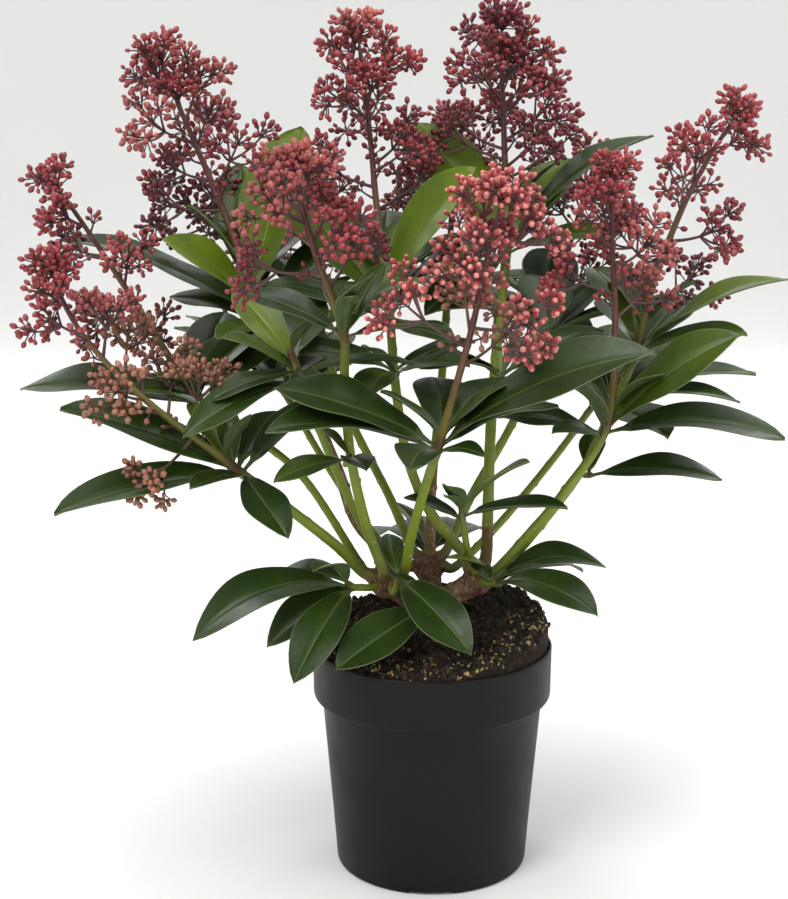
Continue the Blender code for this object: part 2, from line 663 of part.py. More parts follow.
def make_shoot(shoot, home, space):
    """A shoot's bough as an object, with its leafy stem and head axis as masses to fill."""
    line = shoot_line(shoot)
    whorl = line.nearest(Vector(shoot.whorl) * MM)
    half = shoot.leafy * MM / 2
    base, tip = (radius * MM for radius in shoot.radii)
    bough_points = line.run(0, whorl - half, BOUGH_SPACING, BOUGH_STUB)
    bough_radii = even_radii(bough_points, base, tip)
    bough = tube(f"bough_{shoot.name}", bough_points, bough_radii, home)
    finish(bough, "bough")
    space.add(bough.name, evaluated_bmesh(bough))
    stem_points = line.run(whorl - half + GAP, whorl + half, STEM_SPACING)
    stem = tube_bmesh(stem_points, even_radii(stem_points, tip, STEM_TAPER * tip), home)
    leaves = Mass(f"leaves_{shoot.name}", "leaves", stem, line, whorl - half + GAP, whorl + half)
    space.add(leaves.name, stem)
    if shoot.name not in HEADS:
        return (bough_points, bough_radii), leaves, None
    head_top = line.length - HEAD_TOP
    head_points = line.run(whorl + half + GAP, head_top, BOUGH_SPACING)
    axis = tube_bmesh(head_points, even_radii(head_points, *RACHIS_RADII), home, 4)
    head = Mass(f"head_{shoot.name}", "head", axis, line, whorl + half + GAP, head_top)
    space.add(head.name, axis)
    return (bough_points, bough_radii), leaves, head


def side_line(side, boughs):
    """The line of a side shoot, from just clear of what carries it."""
    way = direction(*side.start)
    if side.carrier == "trunk":
        start = TRUNK_CENTRE + way * (TRUNK_RADIUS + 1.5 * GAP)
    elif side.at is None:
        centre = KNOTS[side.carrier.removeprefix("knot_")]
        start = centre + way * (KNOT_RADIUS + 1.5 * GAP)
    else:
        points, radii = boughs[side.carrier]
        whole = side.at * (len(points) - 1)
        i = int(whole)
        tangent = (points[i + 1] - points[i]).normalized()
        way = (way - tangent * way.dot(tangent)).normalized()
        centre = points[i].lerp(points[i + 1], whole - i)
        start = centre + way * (mix(radii[i], radii[i + 1], whole - i) + 1.5 * GAP)
    points = [start, start + way * SIDE_STUB]
    points += [Vector(place) * MM for place in side.way]
    return Line(points)


def make_side(side, boughs, home, space):
    """A short leafy stem that is one mass with its leaves."""
    line = side_line(side, boughs)
    points = line.run(0, line.length, STEM_SPACING, SIDE_STUB)
    radius = side.radius * MM
    stem = tube_bmesh(points, even_radii(points, radius, SIDE_TAPER * radius), home)
    mass = Mass(f"leaves_{side.name}", "leaves", stem, line, 0, line.length)
    space.add(mass.name, stem)
    return mass


def place_leaf(mass, drop, heading, rise, length, lean, turns, space):
    """Fuse a leaf on at the first turn where it is clear, or else leave it out."""
    base = mass.line.at(mass.end - drop)
    for turn in turns:
        probe = leaf_bmesh(base, heading + turn, rise, length, lean, LEAF_CLEARANCE)
        outer = leaf_bmesh(base, heading + turn, rise, length, lean, 0.0, LEAF_FREE_FROM)
        free = space.is_free(probe, mass.name) and space.is_free(outer)
        probe.free()
        outer.free()
        if free:
            mass.add(leaf_bmesh(base, heading + turn, rise, length, lean), space)
            return


def place_shown_leaves(mass, name, space):
    for drop, heading, rise, length, lean in LEAVES.get(name, ()):
        place_leaf(mass, drop * MM, heading, rise, length * MM, (FRONT, lean), SHOWN_TURNS, space)


def place_fill_leaves(mass, name, space, draw):
    """Leaves at even turns over a sector, from low on the stem to its top."""
    fill = FILLS.get(name)
    if not fill:
        return
    for i in range(fill.count):
        share = (i + 0.5) / fill.count
        drop = mix(mass.end - mass.start - FILL_MARGINS[0], FILL_MARGINS[1], share)
        heading = fill.first + fill.span * ((i * FILL_STEP) % 1)
        rise = mix(*fill.rise, draw.random())
        length = mix(*fill.length, draw.random()) * MM
        place_leaf(mass, drop, heading, rise, length, (heading, FILL_LEAN), RULE_TURNS, space)


def place_spray(mass, base, along, length, size, space):
    """Fuse a spray on where it is clear, and say whether it is."""
    probes = spray_pieces(base, along, length, size, HEAD_CLEARANCE)
    free = all(space.is_free(probe, mass.name) for probe in probes)
    for probe in probes:
        probe.free()
    if free:
        for piece in spray_pieces(base, along, length, size):
            mass.add(piece, space)
    return free


def place_sprays(mass, name, space, draw):
    """Sprays that wind up the axis by the golden angle, shorter and steeper to the top."""
    head = HEADS[name]
    size = KNOB_RADIUS * head.width
    for i in range(head.sprays):
        share = i / (head.sprays - 1)
        s = mix(mass.start, mass.end, mix(head.bare, 1.0, share))
        tangent = mass.line.tangent(s)
        side = tangent.orthogonal().normalized()
        length = mix(*head.reach, share ** SPRAY_CROWD) * mix(*SPRAY_VARY, draw.random()) * MM
        lean = math.radians(mix(*SPRAY_LEAN, share ** SPRAY_CROWD))
        for turn in SPRAY_TURNS:
            spin = Matrix.Rotation(i * SPRAY_TURN + math.radians(turn), 3, tangent)
            along = (tangent * math.cos(lean) + (spin @ side) * math.sin(lean)).normalized()
            if place_spray(mass, mass.line.at(s), along, length, size, space):
                break


def largest_piece(bm):
    """Delete every loose scrap but the largest connected piece."""
    left = set(bm.verts)
    islands = []
    while left:
        island = {left.pop()}
        edge_front = list(island)
        while edge_front:
            vertex = edge_front.pop()
            for edge in vertex.link_edges:
                other = edge.other_vert(vertex)
                if other not in island:
                    island.add(other)
                    edge_front.append(other)
        left -= island
        islands.append(island)
    islands.sort(key=len, reverse=True)
    for scrap in islands[1:]:
        bmesh.ops.delete(bm, geom=list(scrap), context="VERTS")


def to_object(name, bm, home):
    mesh = bpy.data.meshes.new(name)
    bm.to_mesh(mesh)
    obj = bpy.data.objects.new(name, mesh)
    home.objects.link(obj)
    return obj


def fuse(mass, home):
    """One Boolean union of a mass's pieces, applied, with the operands removed."""
    operands = bpy.data.collections.new("operands")
    bpy.context.scene.collection.children.link(operands)
    obj = to_object(mass.name, mass.pieces[0], home)
    for i, piece in enumerate(mass.pieces[1:]):
        to_object(f"operand_{i}", piece, operands)
    union = obj.modifiers.new("union", "BOOLEAN")
    union.operation = "UNION"
    union.operand_type = "COLLECTION"
    union.collection = operands
    union.solver = "MANIFOLD"
    thin = obj.modifiers.new("thin", "DECIMATE")
    thin.ratio = KEEP_SHARE
    apply_modifiers(obj)
    for operand in list(operands.objects):
        mesh = operand.data
        bpy.data.objects.remove(operand)
        bpy.data.meshes.remove(mesh)
    bpy.data.collections.remove(operands)
    bm = bmesh.new()
    bm.from_mesh(obj.data)
    largest_piece(bm)
    bm.to_mesh(obj.data)
    bm.free()
    finish(obj, mass.kind)
    return obj


def make_plant(home, space):
    """Stems first, then the leaves that show, the sprays and the leaves that fill."""
    draw = random.Random(SEED)
    leaf_masses = {}
    head_masses = {}
    boughs = {}
    for shoot in SHOOTS:
        boughs[shoot.name], leaves, head = make_shoot(shoot, home, space)
        leaf_masses[shoot.name] = leaves
        if head:
            head_masses[shoot.name] = head
    for side in SIDES:
        leaf_masses[side.name] = make_side(side, boughs, home, space)
    for name, mass in leaf_masses.items():
        place_shown_leaves(mass, name, space)
    for name, mass in head_masses.items():
        place_sprays(mass, name, space, draw)
    for name, mass in leaf_masses.items():
        place_fill_leaves(mass, name, space, draw)
    for mass in (*leaf_masses.values(), *head_masses.values()):
        fuse(mass, home)


def main():
    for obj in list(bpy.data.objects):
        bpy.data.objects.remove(obj)
    home = collection("skimmia")
    cutters = collection("cutters")
    space = Space()
    solids = [make_pot(home, cutters), make_soil(home), make_trunk(home)]
    solids += [make_limb(side, home) for side in KNOTS]
    for solid in solids:
        space.add(solid.name, evaluated_bmesh(solid))
    make_plant(home, space)


main()
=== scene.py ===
"""Dresses a packed skimmia in its nursery pot, as an add-on file that is run as a script.

The frame gives one closed solid for each stem, leafy mass and flower head. The growth rule that
made them is written again here, and each leaf and spray takes the turn that its solid has, so
that the fine leaves, twigs and buds grow where the solids are.
"""
import bisect
import json
import math
import random
from collections import namedtuple

import bmesh
import bpy
import numpy as np
from mathutils import Matrix, Vector, kdtree, noise

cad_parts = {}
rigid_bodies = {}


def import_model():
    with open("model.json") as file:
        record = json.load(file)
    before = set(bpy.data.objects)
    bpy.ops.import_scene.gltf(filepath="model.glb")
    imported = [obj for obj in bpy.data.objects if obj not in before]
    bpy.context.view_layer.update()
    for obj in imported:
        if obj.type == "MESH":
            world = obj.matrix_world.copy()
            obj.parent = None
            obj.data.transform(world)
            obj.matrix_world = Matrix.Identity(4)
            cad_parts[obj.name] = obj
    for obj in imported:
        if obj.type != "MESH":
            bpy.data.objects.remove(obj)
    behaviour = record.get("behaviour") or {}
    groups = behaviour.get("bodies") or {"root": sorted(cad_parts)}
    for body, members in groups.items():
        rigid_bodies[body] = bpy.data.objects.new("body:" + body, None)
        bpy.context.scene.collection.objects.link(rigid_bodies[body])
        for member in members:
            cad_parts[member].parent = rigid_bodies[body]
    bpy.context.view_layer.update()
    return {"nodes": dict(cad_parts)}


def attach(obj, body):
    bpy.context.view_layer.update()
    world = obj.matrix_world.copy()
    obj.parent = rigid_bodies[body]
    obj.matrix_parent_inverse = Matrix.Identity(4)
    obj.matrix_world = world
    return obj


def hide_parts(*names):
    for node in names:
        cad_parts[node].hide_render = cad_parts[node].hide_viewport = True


bl_info = {
    "name": "Skimmia in a pot",
    "version": (1, 0, 0),
    "blender": (4, 5, 0),
    "location": "3D View > Sidebar > Skimmia",
    "description": "Dresses a packed skimmia in its pot with fine leaves, buds, bark and soil",
    "category": "Object",
}

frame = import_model()

MM = 0.001
GAP = 0.3 * MM

# Sizes that the solids share with this file
POT_HEIGHT = 124 * MM
POT_RIM_RADIUS = 65 * MM
POT_NECK_RADIUS = 59.9 * MM
POT_BASE_RADIUS = 52.1 * MM
POT_COLLAR_HEIGHT = 29 * MM
POT_WALL = 1.7 * MM
POT_FLOOR = 4 * MM
NOTCH_SIZE = (24 * MM, 9 * MM, 3.6 * MM)
NOTCHES = 4
HOLES = 6
HOLE_RING = 0.62
SOIL_SLOPE_X = 0.10
SOIL_SLOPE_Y = 0.13
SOIL_MIDDLE = 132.5 * MM
SOIL_LUMP = 1.4 * MM
SOIL_LUMP_PITCH = 42 * MM
FOOT_CENTRE = Vector((2 * MM, -1 * MM, 0))
FOOT_LEVEL = 134 * MM
FOOT_RADIUS = 14.5 * MM
FOOT_FLAT = 18 * MM
FOOT_BLEND = 11 * MM
TRUNK_RADIUS = 10.4 * MM
TRUNK_CENTRE = Vector((0, 2 * MM, 141.8 * MM))
LIMB_RADIUS = 6.2 * MM
KNOT_RADIUS = 8.2 * MM
KNOTS = {
    "left": Vector((-25, 0, 157)) * MM,
    "right": Vector((24, 2, 158)) * MM,
    "back": Vector((-2, 28, 157)) * MM,
}
LEAF_WIDTH_RATIO = 0.39
LEAF_MISS = 3 * MM
LEAF_FOLD = 0.20
LEAF_ARCH = 0.07
FILL_LEAN = 12
STALK_HALF_WIDTH = 1.3 * MM
FILL_MARGINS = (3 * MM, 2 * MM)
FILL_STEP = 0.618
HIDDEN_LEAF = 100
INNER_LEAF = 200
SPRAY_TURN = math.radians(137.5)
SPRAY_LEAN = (64, 6)
SPRAY_CROWD = 2.8
SPRAY_FORK = math.radians(42)
SPRAY_FORK_AT = 0.6
SPRAY_VARY = (0.85, 1.15)
SIDE_BUD_REACH = 1.3
SIDE_BUD_SIZE = 0.9
KNOB_RADIUS = 7.0 * MM
RACHIS_RADII = (2.1 * MM, 1.1 * MM)
HEAD_TOP = 21 * MM
SEED = 17
FRONT = -90
SHOWN_TURNS = (0, 6, -6, 12, -12, 18, -18)
RULE_TURNS = (0, 14, -14, 28, -28, 42, -42)
SPRAY_TURNS = (0, 20, -20, 40, -40, 60, -60, 80, -80)
LINE_STEP = 1.0 * MM
BOUGH_STUB = 8 * MM
SIDE_STUB = 4 * MM
END_STUB = 2.5 * MM
BOUGH_SPACING = 24 * MM

Shoot = namedtuple("Shoot", "name knot start way whorl leafy head radii")
Side = namedtuple("Side", "name carrier at start way radius")
Head = namedtuple("Head", "bare sprays reach width")
Fill = namedtuple("Fill", "count first span rise length")
Stretch = namedtuple("Stretch", "name line start end")
Leaf = namedtuple("Leaf", "mass index base along side up length")
Spray = namedtuple("Spray", "head share base along length size")

# Shoots. Places and radii are in millimetres, and start is the azimuth and elevation at the knot.
SHOOTS = (
    Shoot("left_low", "left", (190, 30), ((-50, -12, 180), (-74, -20, 202)),
          (-102, -30, 227), 17, ((-151, -30, 266), (-182, -30, 302), (-198, -30, 342)), (3.0, 2.5)),
    Shoot("left", "left", (148, 22), ((-69, 3, 214), (-100, 10, 238)),
          (-126, 14, 255), 18, ((-164, 20, 313), (-190, 20, 354), (-208, 20, 379)), (2.3, 2.0)),
    Shoot("left_high", "left", (100, 55), ((-42, 10, 190), (-52, 13, 218), (-72, 20, 262)),
          (-95, 25, 306), 34, ((-112, 30, 353), (-132, 30, 402), (-149, 30, 445)), (3.5, 2.5)),
    Shoot("front_left", "left", (262, 45), ((-35, -20, 195), (-42, -36, 235), (-44, -55, 275)),
          (-44, -68, 305), 18, ((-57, -80, 346), (-69, -90, 394)), (2.8, 2.3)),
    Shoot("mid_left", "left", (200, 75), ((-40, -5, 195), (-54, -19, 232)),
          (-69, -38, 281), 22, (), (2.2, 2.0)),
    Shoot("front", "left", (318, 35), ((-11, -30, 192), (-4, -50, 222)),
          (3, -68, 249), 14, ((17, -90, 305), (25, -100, 345), (32, -110, 380)), (2.7, 2.4)),
    Shoot("centre", "right", (150, 60), ((-2, 0, 198), (-14, 0, 228), (-20, 3, 265)),
          (-24, 14, 308), 30, ((-30, 30, 350), (-35, 36, 400), (-42, 40, 458)), (3.0, 2.4)),
    Shoot("right_high", "right", (60, 50), ((30, 9, 205), (31, 14, 240), (35, 33, 290)),
          (40, 52, 336), 24, ((39, 60, 369), (37, 66, 415), (35, 70, 462)), (3.2, 2.5)),
    Shoot("right", "right", (325, 35), ((50, -9, 186), (70, -11, 212)),
          (91, -12, 248), 20, ((93, -16, 300), (90, -18, 345), (89, -20, 388)), (2.6, 2.3)),
    Shoot("right_far", "right", (20, 22), ((58, 9, 187), (80, 10, 218), (96, 12, 252)),
          (109, 14, 286), 24, ((116, 16, 318), (134, 18, 366), (163, 20, 417)), (2.6, 2.2)),
    Shoot("back_left", "back", (140, 38), ((-25, 56, 192), (-50, 84, 235)),
          (-66, 104, 280), 20, ((-76, 120, 325), (-88, 136, 385)), (2.7, 2.3)),
    Shoot("back", "back", (85, 65), ((0, 56, 205), (5, 92, 255)),
          (8, 112, 300), 20, ((10, 124, 340), (12, 138, 405)), (2.8, 2.3)),
    Shoot("back_right", "back", (35, 38), ((22, 56, 192), (48, 78, 235)),
          (66, 96, 280), 20, ((78, 112, 325), (96, 128, 385)), (2.7, 2.3)),
    Shoot("back_low_left", "back", (180, 10), ((-40, 50, 180), (-66, 72, 214)),
          (-88, 92, 246), 18, ((-116, 116, 272), (-136, 132, 318)), (2.4, 2.0)),
    Shoot("back_low_right", "back", (355, 10), ((40, 50, 180), (70, 70, 212)),
          (94, 88, 240), 18, ((122, 112, 268), (140, 130, 316)), (2.4, 2.0)),
)

# Short side shoots that carry leaves only, from a knot, the trunk or the middle of a bough
SIDES = (
    Side("basal_left", "knot_left", None, (225, 0), ((-45, -18, 160),), 2.0),
    Side("basal_middle", "knot_left", None, (292, -8), ((-18, -18, 166),), 1.8),
    Side("basal_front", "trunk", None, (262, 8), ((0, -17, 149), (-1, -24, 155)), 2.0),
    Side("basal_right", "knot_right", None, (293, 10), ((36, -14, 161),), 2.0),
    Side("basal_back", "knot_back", None, (92, -2), ((-2, 52, 161),), 2.0),
    Side("side_centre", "knot_right", None, (255, 50), ((18, -12, 182), (15, -17, 204)), 1.9),
    Side("side_left", "front_left", 0.52, (250, 20), ((-42, -46, 238),), 1.7),
    Side("side_right", "right_far", 0.52, (300, 10), ((84, -2, 218),), 1.7),
    Side("side_mid", "centre", 0.76, (270, 25), ((-19, -14, 274),), 1.8),
    Side("side_high", "right_high", 0.66, (280, 25), ((36, 6, 268),), 1.8),
)

# Leaves that show: distance below the top of the stem, heading, rise, length and lean
LEAVES = {
    "left_low": ((14, 180, 18, 102, 8), (13, -160, -8, 98, 12), (14, -60, -20, 56, 25),
                 (15, -122, 5, 44, 20), (8, 110, 65, 34, 15)),
    "left": ((14, 180, 5, 100, 8), (12, -116, 28, 46, 20), (15, -128, 18, 56, 20),
             (14, 125, 10, 60, 20)),
    "left_high": ((31, 180, 20, 124, 2), (26, -142, 37, 76, 30), (16, 105, 54, 86, 20),
                  (13, 60, 62, 100, 10), (29, 168, 10, 62, 20), (32, -115, 2, 52, 20)),
    "front_left": ((14, -65, 50, 48, 25), (13, 22, 58, 42, 15), (12, 168, 22, 56, 15)),
    "mid_left": ((14, -155, 28, 45, 20), (13, -162, -16, 46, 20), (18, -148, -20, 68, 15),
                 (12, -75, -10, 44, 25), (9, 140, 40, 56, 20)),
    "front": ((9, 170, 22, 86, 22), (11, -160, 12, 88, 12), (9, -14, 28, 116, 18),
              (12, -108, 4, 60, 30), (12, -40, 5, 30, 20)),
    "centre": ((18, 158, 46, 98, 25), (15, -28, 55, 88, 30), (16, 92, 34, 84, 15),
               (27, -135, 30, 38, 20), (28, -45, -5, 48, 20), (26, 178, 18, 70, 20)),
    "right_high": ((20, 140, 50, 92, 30), (13, 38, 42, 66, 30), (14, 12, 40, 98, 5),
                   (22, -62, -40, 52, 20), (21, -145, -25, 60, 20), (18, -20, 12, 62, 20)),
    "right": ((15, -12, 2, 92, 14), (13, -20, 39, 86, 30), (18, -135, 14, 40, 25),
              (14, -128, 40, 58, 20), (16, 175, 8, 56, 15)),
    "right_far": ((15, -8, 29, 86, 5), (14, 105, 52, 54, 25), (17, -28, 14, 62, 20),
                  (20, -150, 22, 36, 20), (18, 60, 20, 70, 15)),
    "basal_left": ((4, -158, -10, 90, 18), (8, 158, -8, 62, 5), (3, -120, -33, 66, 35),
                   (9, -140, -24, 60, 25)),
    "basal_middle": ((2, -52, -21, 66, 40),),
    "basal_front": ((5, -136, -17, 70, 35), (2, -85, -8, 34, 20)),
    "basal_right": ((3, -42, -3, 68, 20), (6, 0, 9, 62, 10), (3, 40, 0, 60, 10)),
    "basal_back": ((3, 60, -4, 74, 10), (5, 115, -4, 76, 10), (8, 90, 8, 60, 10)),
    "side_centre": ((2, -35, 38, 52, 10), (5, -12, 7, 56, 5), (3, -110, 40, 32, 10),
                    (8, 165, 20, 34, 10), (34, -68, -6, 26, 20)),
    "side_left": ((3, -150, -9, 42, 22), (3, -75, 6, 42, 20)),
    "side_right": ((3, -10, 3, 70, 16), (5, -120, 20, 34, 15)),
    "side_mid": ((3, -108, -4, 52, 20), (6, -165, 12, 62, 20), (3, -45, 10, 54, 20)),
    "side_high": ((3, -55, 40, 50, 20), (6, -140, 8, 56, 20), (3, 10, 22, 60, 20)),
}

# Leaves that fill the hidden sides of each leafy stem
FILLS = {
    "left_low": Fill(4, 35, 100, (5, 30), (70, 88)),
    "left": Fill(3, 30, 90, (5, 32), (66, 84)),
    "left_high": Fill(3, 20, 120, (10, 40), (70, 88)),
    "front_left": Fill(3, 10, 130, (0, 30), (52, 66)),
    "mid_left": Fill(2, 30, 70, (5, 30), (56, 70)),
    "front": Fill(3, 25, 110, (5, 30), (60, 78)),
    "centre": Fill(3, 20, 110, (15, 45), (66, 82)),
    "right_high": Fill(3, 60, 120, (5, 35), (70, 88)),
    "right": Fill(3, 20, 100, (5, 35), (66, 84)),
    "right_far": Fill(2, 70, 60, (5, 35), (66, 84)),
    "back_left": Fill(8, 0, 360, (5, 40), (70, 92)),
    "back": Fill(8, 20, 360, (5, 40), (64, 90)),
    "back_right": Fill(8, 40, 360, (5, 40), (70, 92)),
    "back_low_left": Fill(9, 40, 230, (-8, 42), (74, 96)),
    "back_low_right": Fill(9, -70, 230, (-8, 42), (74, 96)),
    "side_mid": Fill(1, 10, 20, (10, 20), (44, 50)),
}

# Flower heads: the bare part of the axis, number of sprays, longest and shortest branch, size
HEADS = {
    "left_low": Head(0.04, 9, (32, 12), 1.0),
    "left": Head(0.22, 6, (27, 11), 1.0),
    "left_high": Head(0.20, 8, (36, 12), 1.1),
    "front_left": Head(0.20, 7, (32, 12), 1.0),
    "front": Head(0.34, 8, (38, 13), 1.1),
    "centre": Head(0.30, 8, (34, 12), 1.05),
    "right_high": Head(0.24, 8, (40, 13), 1.1),
    "right": Head(0.42, 6, (30, 12), 1.0),
    "right_far": Head(0.10, 7, (34, 12), 1.0),
    "back_left": Head(0.28, 5, (34, 13), 1.15),
    "back": Head(0.28, 5, (34, 13), 1.15),
    "back_right": Head(0.28, 5, (34, 13), 1.15),
}

# Leaves painted in lighter greens, by place in the table above: painted light where they catch the
# light, and the paler green of younger leaves
BRIGHT = {
    "left_high": (1, 3),
    "centre": (1,),
    "right_high": (0, 1),
    "right_far": (0,),
    "side_centre": (0,),
    "mid_left": (4,),
}
MIDDLE = {
    "left_low": (4,),
    "left": (1, 2),
    "left_high": (2, 5),
    "centre": (0, 3),
    "mid_left": (0,),
    "front_left": (0, 1),
    "right_high": (5,),
    "right": (1,),
    "right_far": (1, 2),
    "side_left": (0,),
    "side_mid": (0,),
}

# Bud colours of each flower head, from its lowest sprays to its highest
HEAD_TINTS = {
    "left_low": ("tan", "tan", "rose", "crimson"),
    "left": ("rose", "rose", "garnet", "crimson"),
    "left_high": ("maroon", "garnet", "rose", "crimson"),
    "front_left": ("maroon", "crimson", "rose", "rose"),
    "front": ("tan", "salmon", "salmon", "salmon"),
    "centre": ("maroon", "garnet", "crimson", "rose"),
    "right_high": ("maroon", "garnet", "crimson", "garnet"),
    "right": ("rose", "crimson", "rose", "crimson"),
    "right_far": ("maroon", "garnet", "crimson", "crimson"),
}
HIDDEN_TINTS = ("maroon", "garnet", "garnet", "crimson", "rose")

# Smaller sprays between those of the solids: how many, and their length, size and highest place
SPRAYS_BETWEEN = {"left_high": 4, "centre": 2, "right_high": 6, "front_left": 1,
                  "front": 2, "back": 1, "back_left": 1, "back_right": 1}
BETWEEN_LENGTHS = (0.74, 0.92)
BETWEEN_SIZE = 0.86
BETWEEN_TOP = 0.87
SPRAY_MISS = 12 * MM

# Sprays that hang from the foot of a head: its name, the distance along its line, and the end
SPRAYS_HANGING = (("left_low", 128, (-144.7, -55.8, 224.7)),)
HANGING_SIZE = 0.75

# Short young leaves around an axis: how many, their rise, their share of the mean length, how
# far each may turn in degrees, and its distance below the stem's top in millimetres
INNER_LEAVES = 2
INNER_RISE = (28, 56)
INNER_LENGTHS = (0.46, 0.62)
INNER_WANDER = (-25, 25)
INNER_DROPS = (0, 3)

# Leaves that arch more than the rest, and flower axes that stay green for longer
ARCHED = {"basal_left": 0.17, "basal_right": 0.15, "basal_middle": 0.11, "basal_back": 0.12}
GREEN_FOR_LONGER = {"left_low": 2.4, "left": 1.8, "right_far": 1.6}

# Share of the way to the whorl over which old bark flakes off
FLAKY = {"left_high": 0.62, "front": 0.12, "back": 0.4, "right_high": 0.16}


def direction(heading, rise):
    """Unit vector for a heading in the plan and a rise above it, both in degrees."""
    h = math.radians(heading)
    r = math.radians(rise)
    return Vector((math.cos(h) * math.cos(r), math.sin(h) * math.cos(r), math.sin(r)))


def mix(a, b, t):
    return a + (b - a) * t


def smooth_step(t):
    t = min(max(t, 0.0), 1.0)
    return t * t * (3 - 2 * t)


def spread_around(way, lean, turn):
    """A direction that leans from another by an angle, at a turn around it."""
    side = way.orthogonal().normalized()
    spin = Matrix.Rotation(turn, 3, way)
    return (way * math.cos(lean) + (spin @ side) * math.sin(lean)).normalized()


class Line:
    """A smooth line through points, read by the distance from its start."""

    def __init__(self, points):
        ends = [points[0] * 2 - points[1], *points, points[-1] * 2 - points[-2]]
        self.points = [points[0].copy()]
        for a, b, c, d in zip(ends, ends[1:], ends[2:], ends[3:]):
            steps = max(2, math.ceil((c - b).length / LINE_STEP))
            for i in range(1, steps + 1):
                self.points.append(self.blend(a, b, c, d, i / steps))
        self.marks = [0.0]
        for a, b in zip(self.points, self.points[1:]):
            self.marks.append(self.marks[-1] + (b - a).length)
        self.length = self.marks[-1]

    @staticmethod
    def blend(a, b, c, d, t):
        """Point at t between b and c on the cubic through a, b, c and d."""
        return 0.5 * (2 * b + (c - a) * t + (2 * a - 5 * b + 4 * c - d) * t * t
                      + (3 * b - a - 3 * c + d) * t ** 3)

    def at(self, s):
        """Point at a distance, going straight on past either end."""
        if s < 0:
            return self.points[0] + (self.points[0] - self.points[1]).normalized() * -s
        if s >= self.length:
            way = (self.points[-1] - self.points[-2]).normalized()
            return self.points[-1] + way * (s - self.length)
        i = max(bisect.bisect_left(self.marks, s) - 1, 0)
        part = (s - self.marks[i]) / (self.marks[i + 1] - self.marks[i])
        return self.points[i].lerp(self.points[i + 1], part)

    def tangent(self, s):
        step = LINE_STEP
        return (self.at(min(s + step, self.length)) - self.at(max(s - step, 0))).normalized()

    def nearest(self, place):
        """Distance along the line of its point nearest to a place."""
        index = min(range(len(self.points)), key=lambda i: (self.points[i] - place).length)
        return self.marks[index]

    def run(self, start, end, spacing, stub=END_STUB):
        """Evenly spaced points between two distances, with a short stretch at both ends."""
        first, last = start + stub, end - END_STUB
        count = max(1, round((last - first) / spacing))
        inner = [self.at(mix(first, last, i / count)) for i in range(count + 1)]
        return [self.at(start), *inner, self.at(end)]


def shoot_line(shoot):
    """The smooth line of a shoot from its knot to its tip."""
    centre = KNOTS[shoot.knot]
    way = direction(*shoot.start)
    start = centre + way * (KNOT_RADIUS + 1.5 * GAP)
    points = [start, start + way * BOUGH_STUB]
    points += [Vector(place) * MM for place in (*shoot.way, shoot.whorl, *shoot.head)]
    if not shoot.head:
        points.append(points[-1] * 1.5 - points[-2] * 0.5)
    return Line(points)


def side_line(side, boughs):
    """The line of a side shoot, from just clear of what carries it."""
    way = direction(*side.start)
    if side.carrier == "trunk":
        start = TRUNK_CENTRE + way * (TRUNK_RADIUS + 1.5 * GAP)
    elif side.at is None:
        centre = KNOTS[side.carrier.removeprefix("knot_")]
        start = centre + way * (KNOT_RADIUS + 1.5 * GAP)
    else:
        points, radii = boughs[side.carrier]
        whole = side.at * (len(points) - 1)
        i = int(whole)
        tangent = (points[i + 1] - points[i]).normalized()
        way = (way - tangent * way.dot(tangent)).normalized()
        centre = points[i].lerp(points[i + 1], whole - i)
        start = centre + way * (mix(radii[i], radii[i + 1], whole - i) + 1.5 * GAP)
    points = [start, start + way * SIDE_STUB]
    points += [Vector(place) * MM for place in side.way]
    return Line(points)


class Plan:
    """The lines of every shoot and side shoot, cut where the solids are cut."""

    def __init__(self):
        self.leafy = {}
        self.heads = {}
        self.whorls = {}
        boughs = {}
        for shoot in SHOOTS:
            line = shoot_line(shoot)
            whorl = line.nearest(Vector(shoot.whorl) * MM)
            half = shoot.leafy * MM / 2
            base, tip = (radius * MM for radius in shoot.radii)
            points = line.run(0, whorl - half, BOUGH_SPACING, BOUGH_STUB)
            radii = [mix(base, tip, i / (len(points) - 1)) for i in range(len(points))]
            boughs[shoot.name] = (points, radii)
            self.whorls[shoot.name] = whorl
            self.leafy[shoot.name] = Stretch(shoot.name, line, whorl - half + GAP, whorl + half)
            if shoot.name in HEADS:
                self.heads[shoot.name] = Stretch(shoot.name, line, whorl + half + GAP,
                                                 line.length - HEAD_TOP)
        for side in SIDES:
            line = side_line(side, boughs)
            self.leafy[side.name] = Stretch(side.name, line, 0, line.length)


def node_tree_of(node):
    """A search tree over a solid's corners."""
    corners = frame["nodes"][node].data.vertices
    tree = kdtree.KDTree(len(corners))
    for i, corner in enumerate(corners):
        tree.insert(corner.co, i)
    tree.balance()
    return tree


def leaf_frame(heading, rise, lean):
    """A leaf's own directions: along it, across it and out of its upper side."""
    along = direction(heading, rise)
    side = direction(lean[0], 90 - lean[1]).cross(along).normalized()
    return along, side, along.cross(side)


def seat_leaf(stretch, index, drop, heading, rise, length, lean, turns, tree):
    """The leaf at the turn whose tip its solid has, or None where the solid has none."""
    base = stretch.line.at(stretch.end - drop)
    frames = [leaf_frame(heading + turn, rise, lean) for turn in turns]
    misses = [tree.find(base + along * length)[2] for along, _, _ in frames]
    if min(misses) < LEAF_MISS:
        return Leaf(stretch.name, index, base, *frames[misses.index(min(misses))], length)
    return None


def grow_leaves_shown(plan, trees):
    leaves = []
    for name, rows in LEAVES.items():
        for i, (drop, heading, rise, length, lean) in enumerate(rows):
            leaf = seat_leaf(plan.leafy[name], i, drop * MM, heading, rise, length * MM,
                             (FRONT, lean), SHOWN_TURNS, trees[name])
            if leaf:
                leaves.append(leaf)
    return leaves


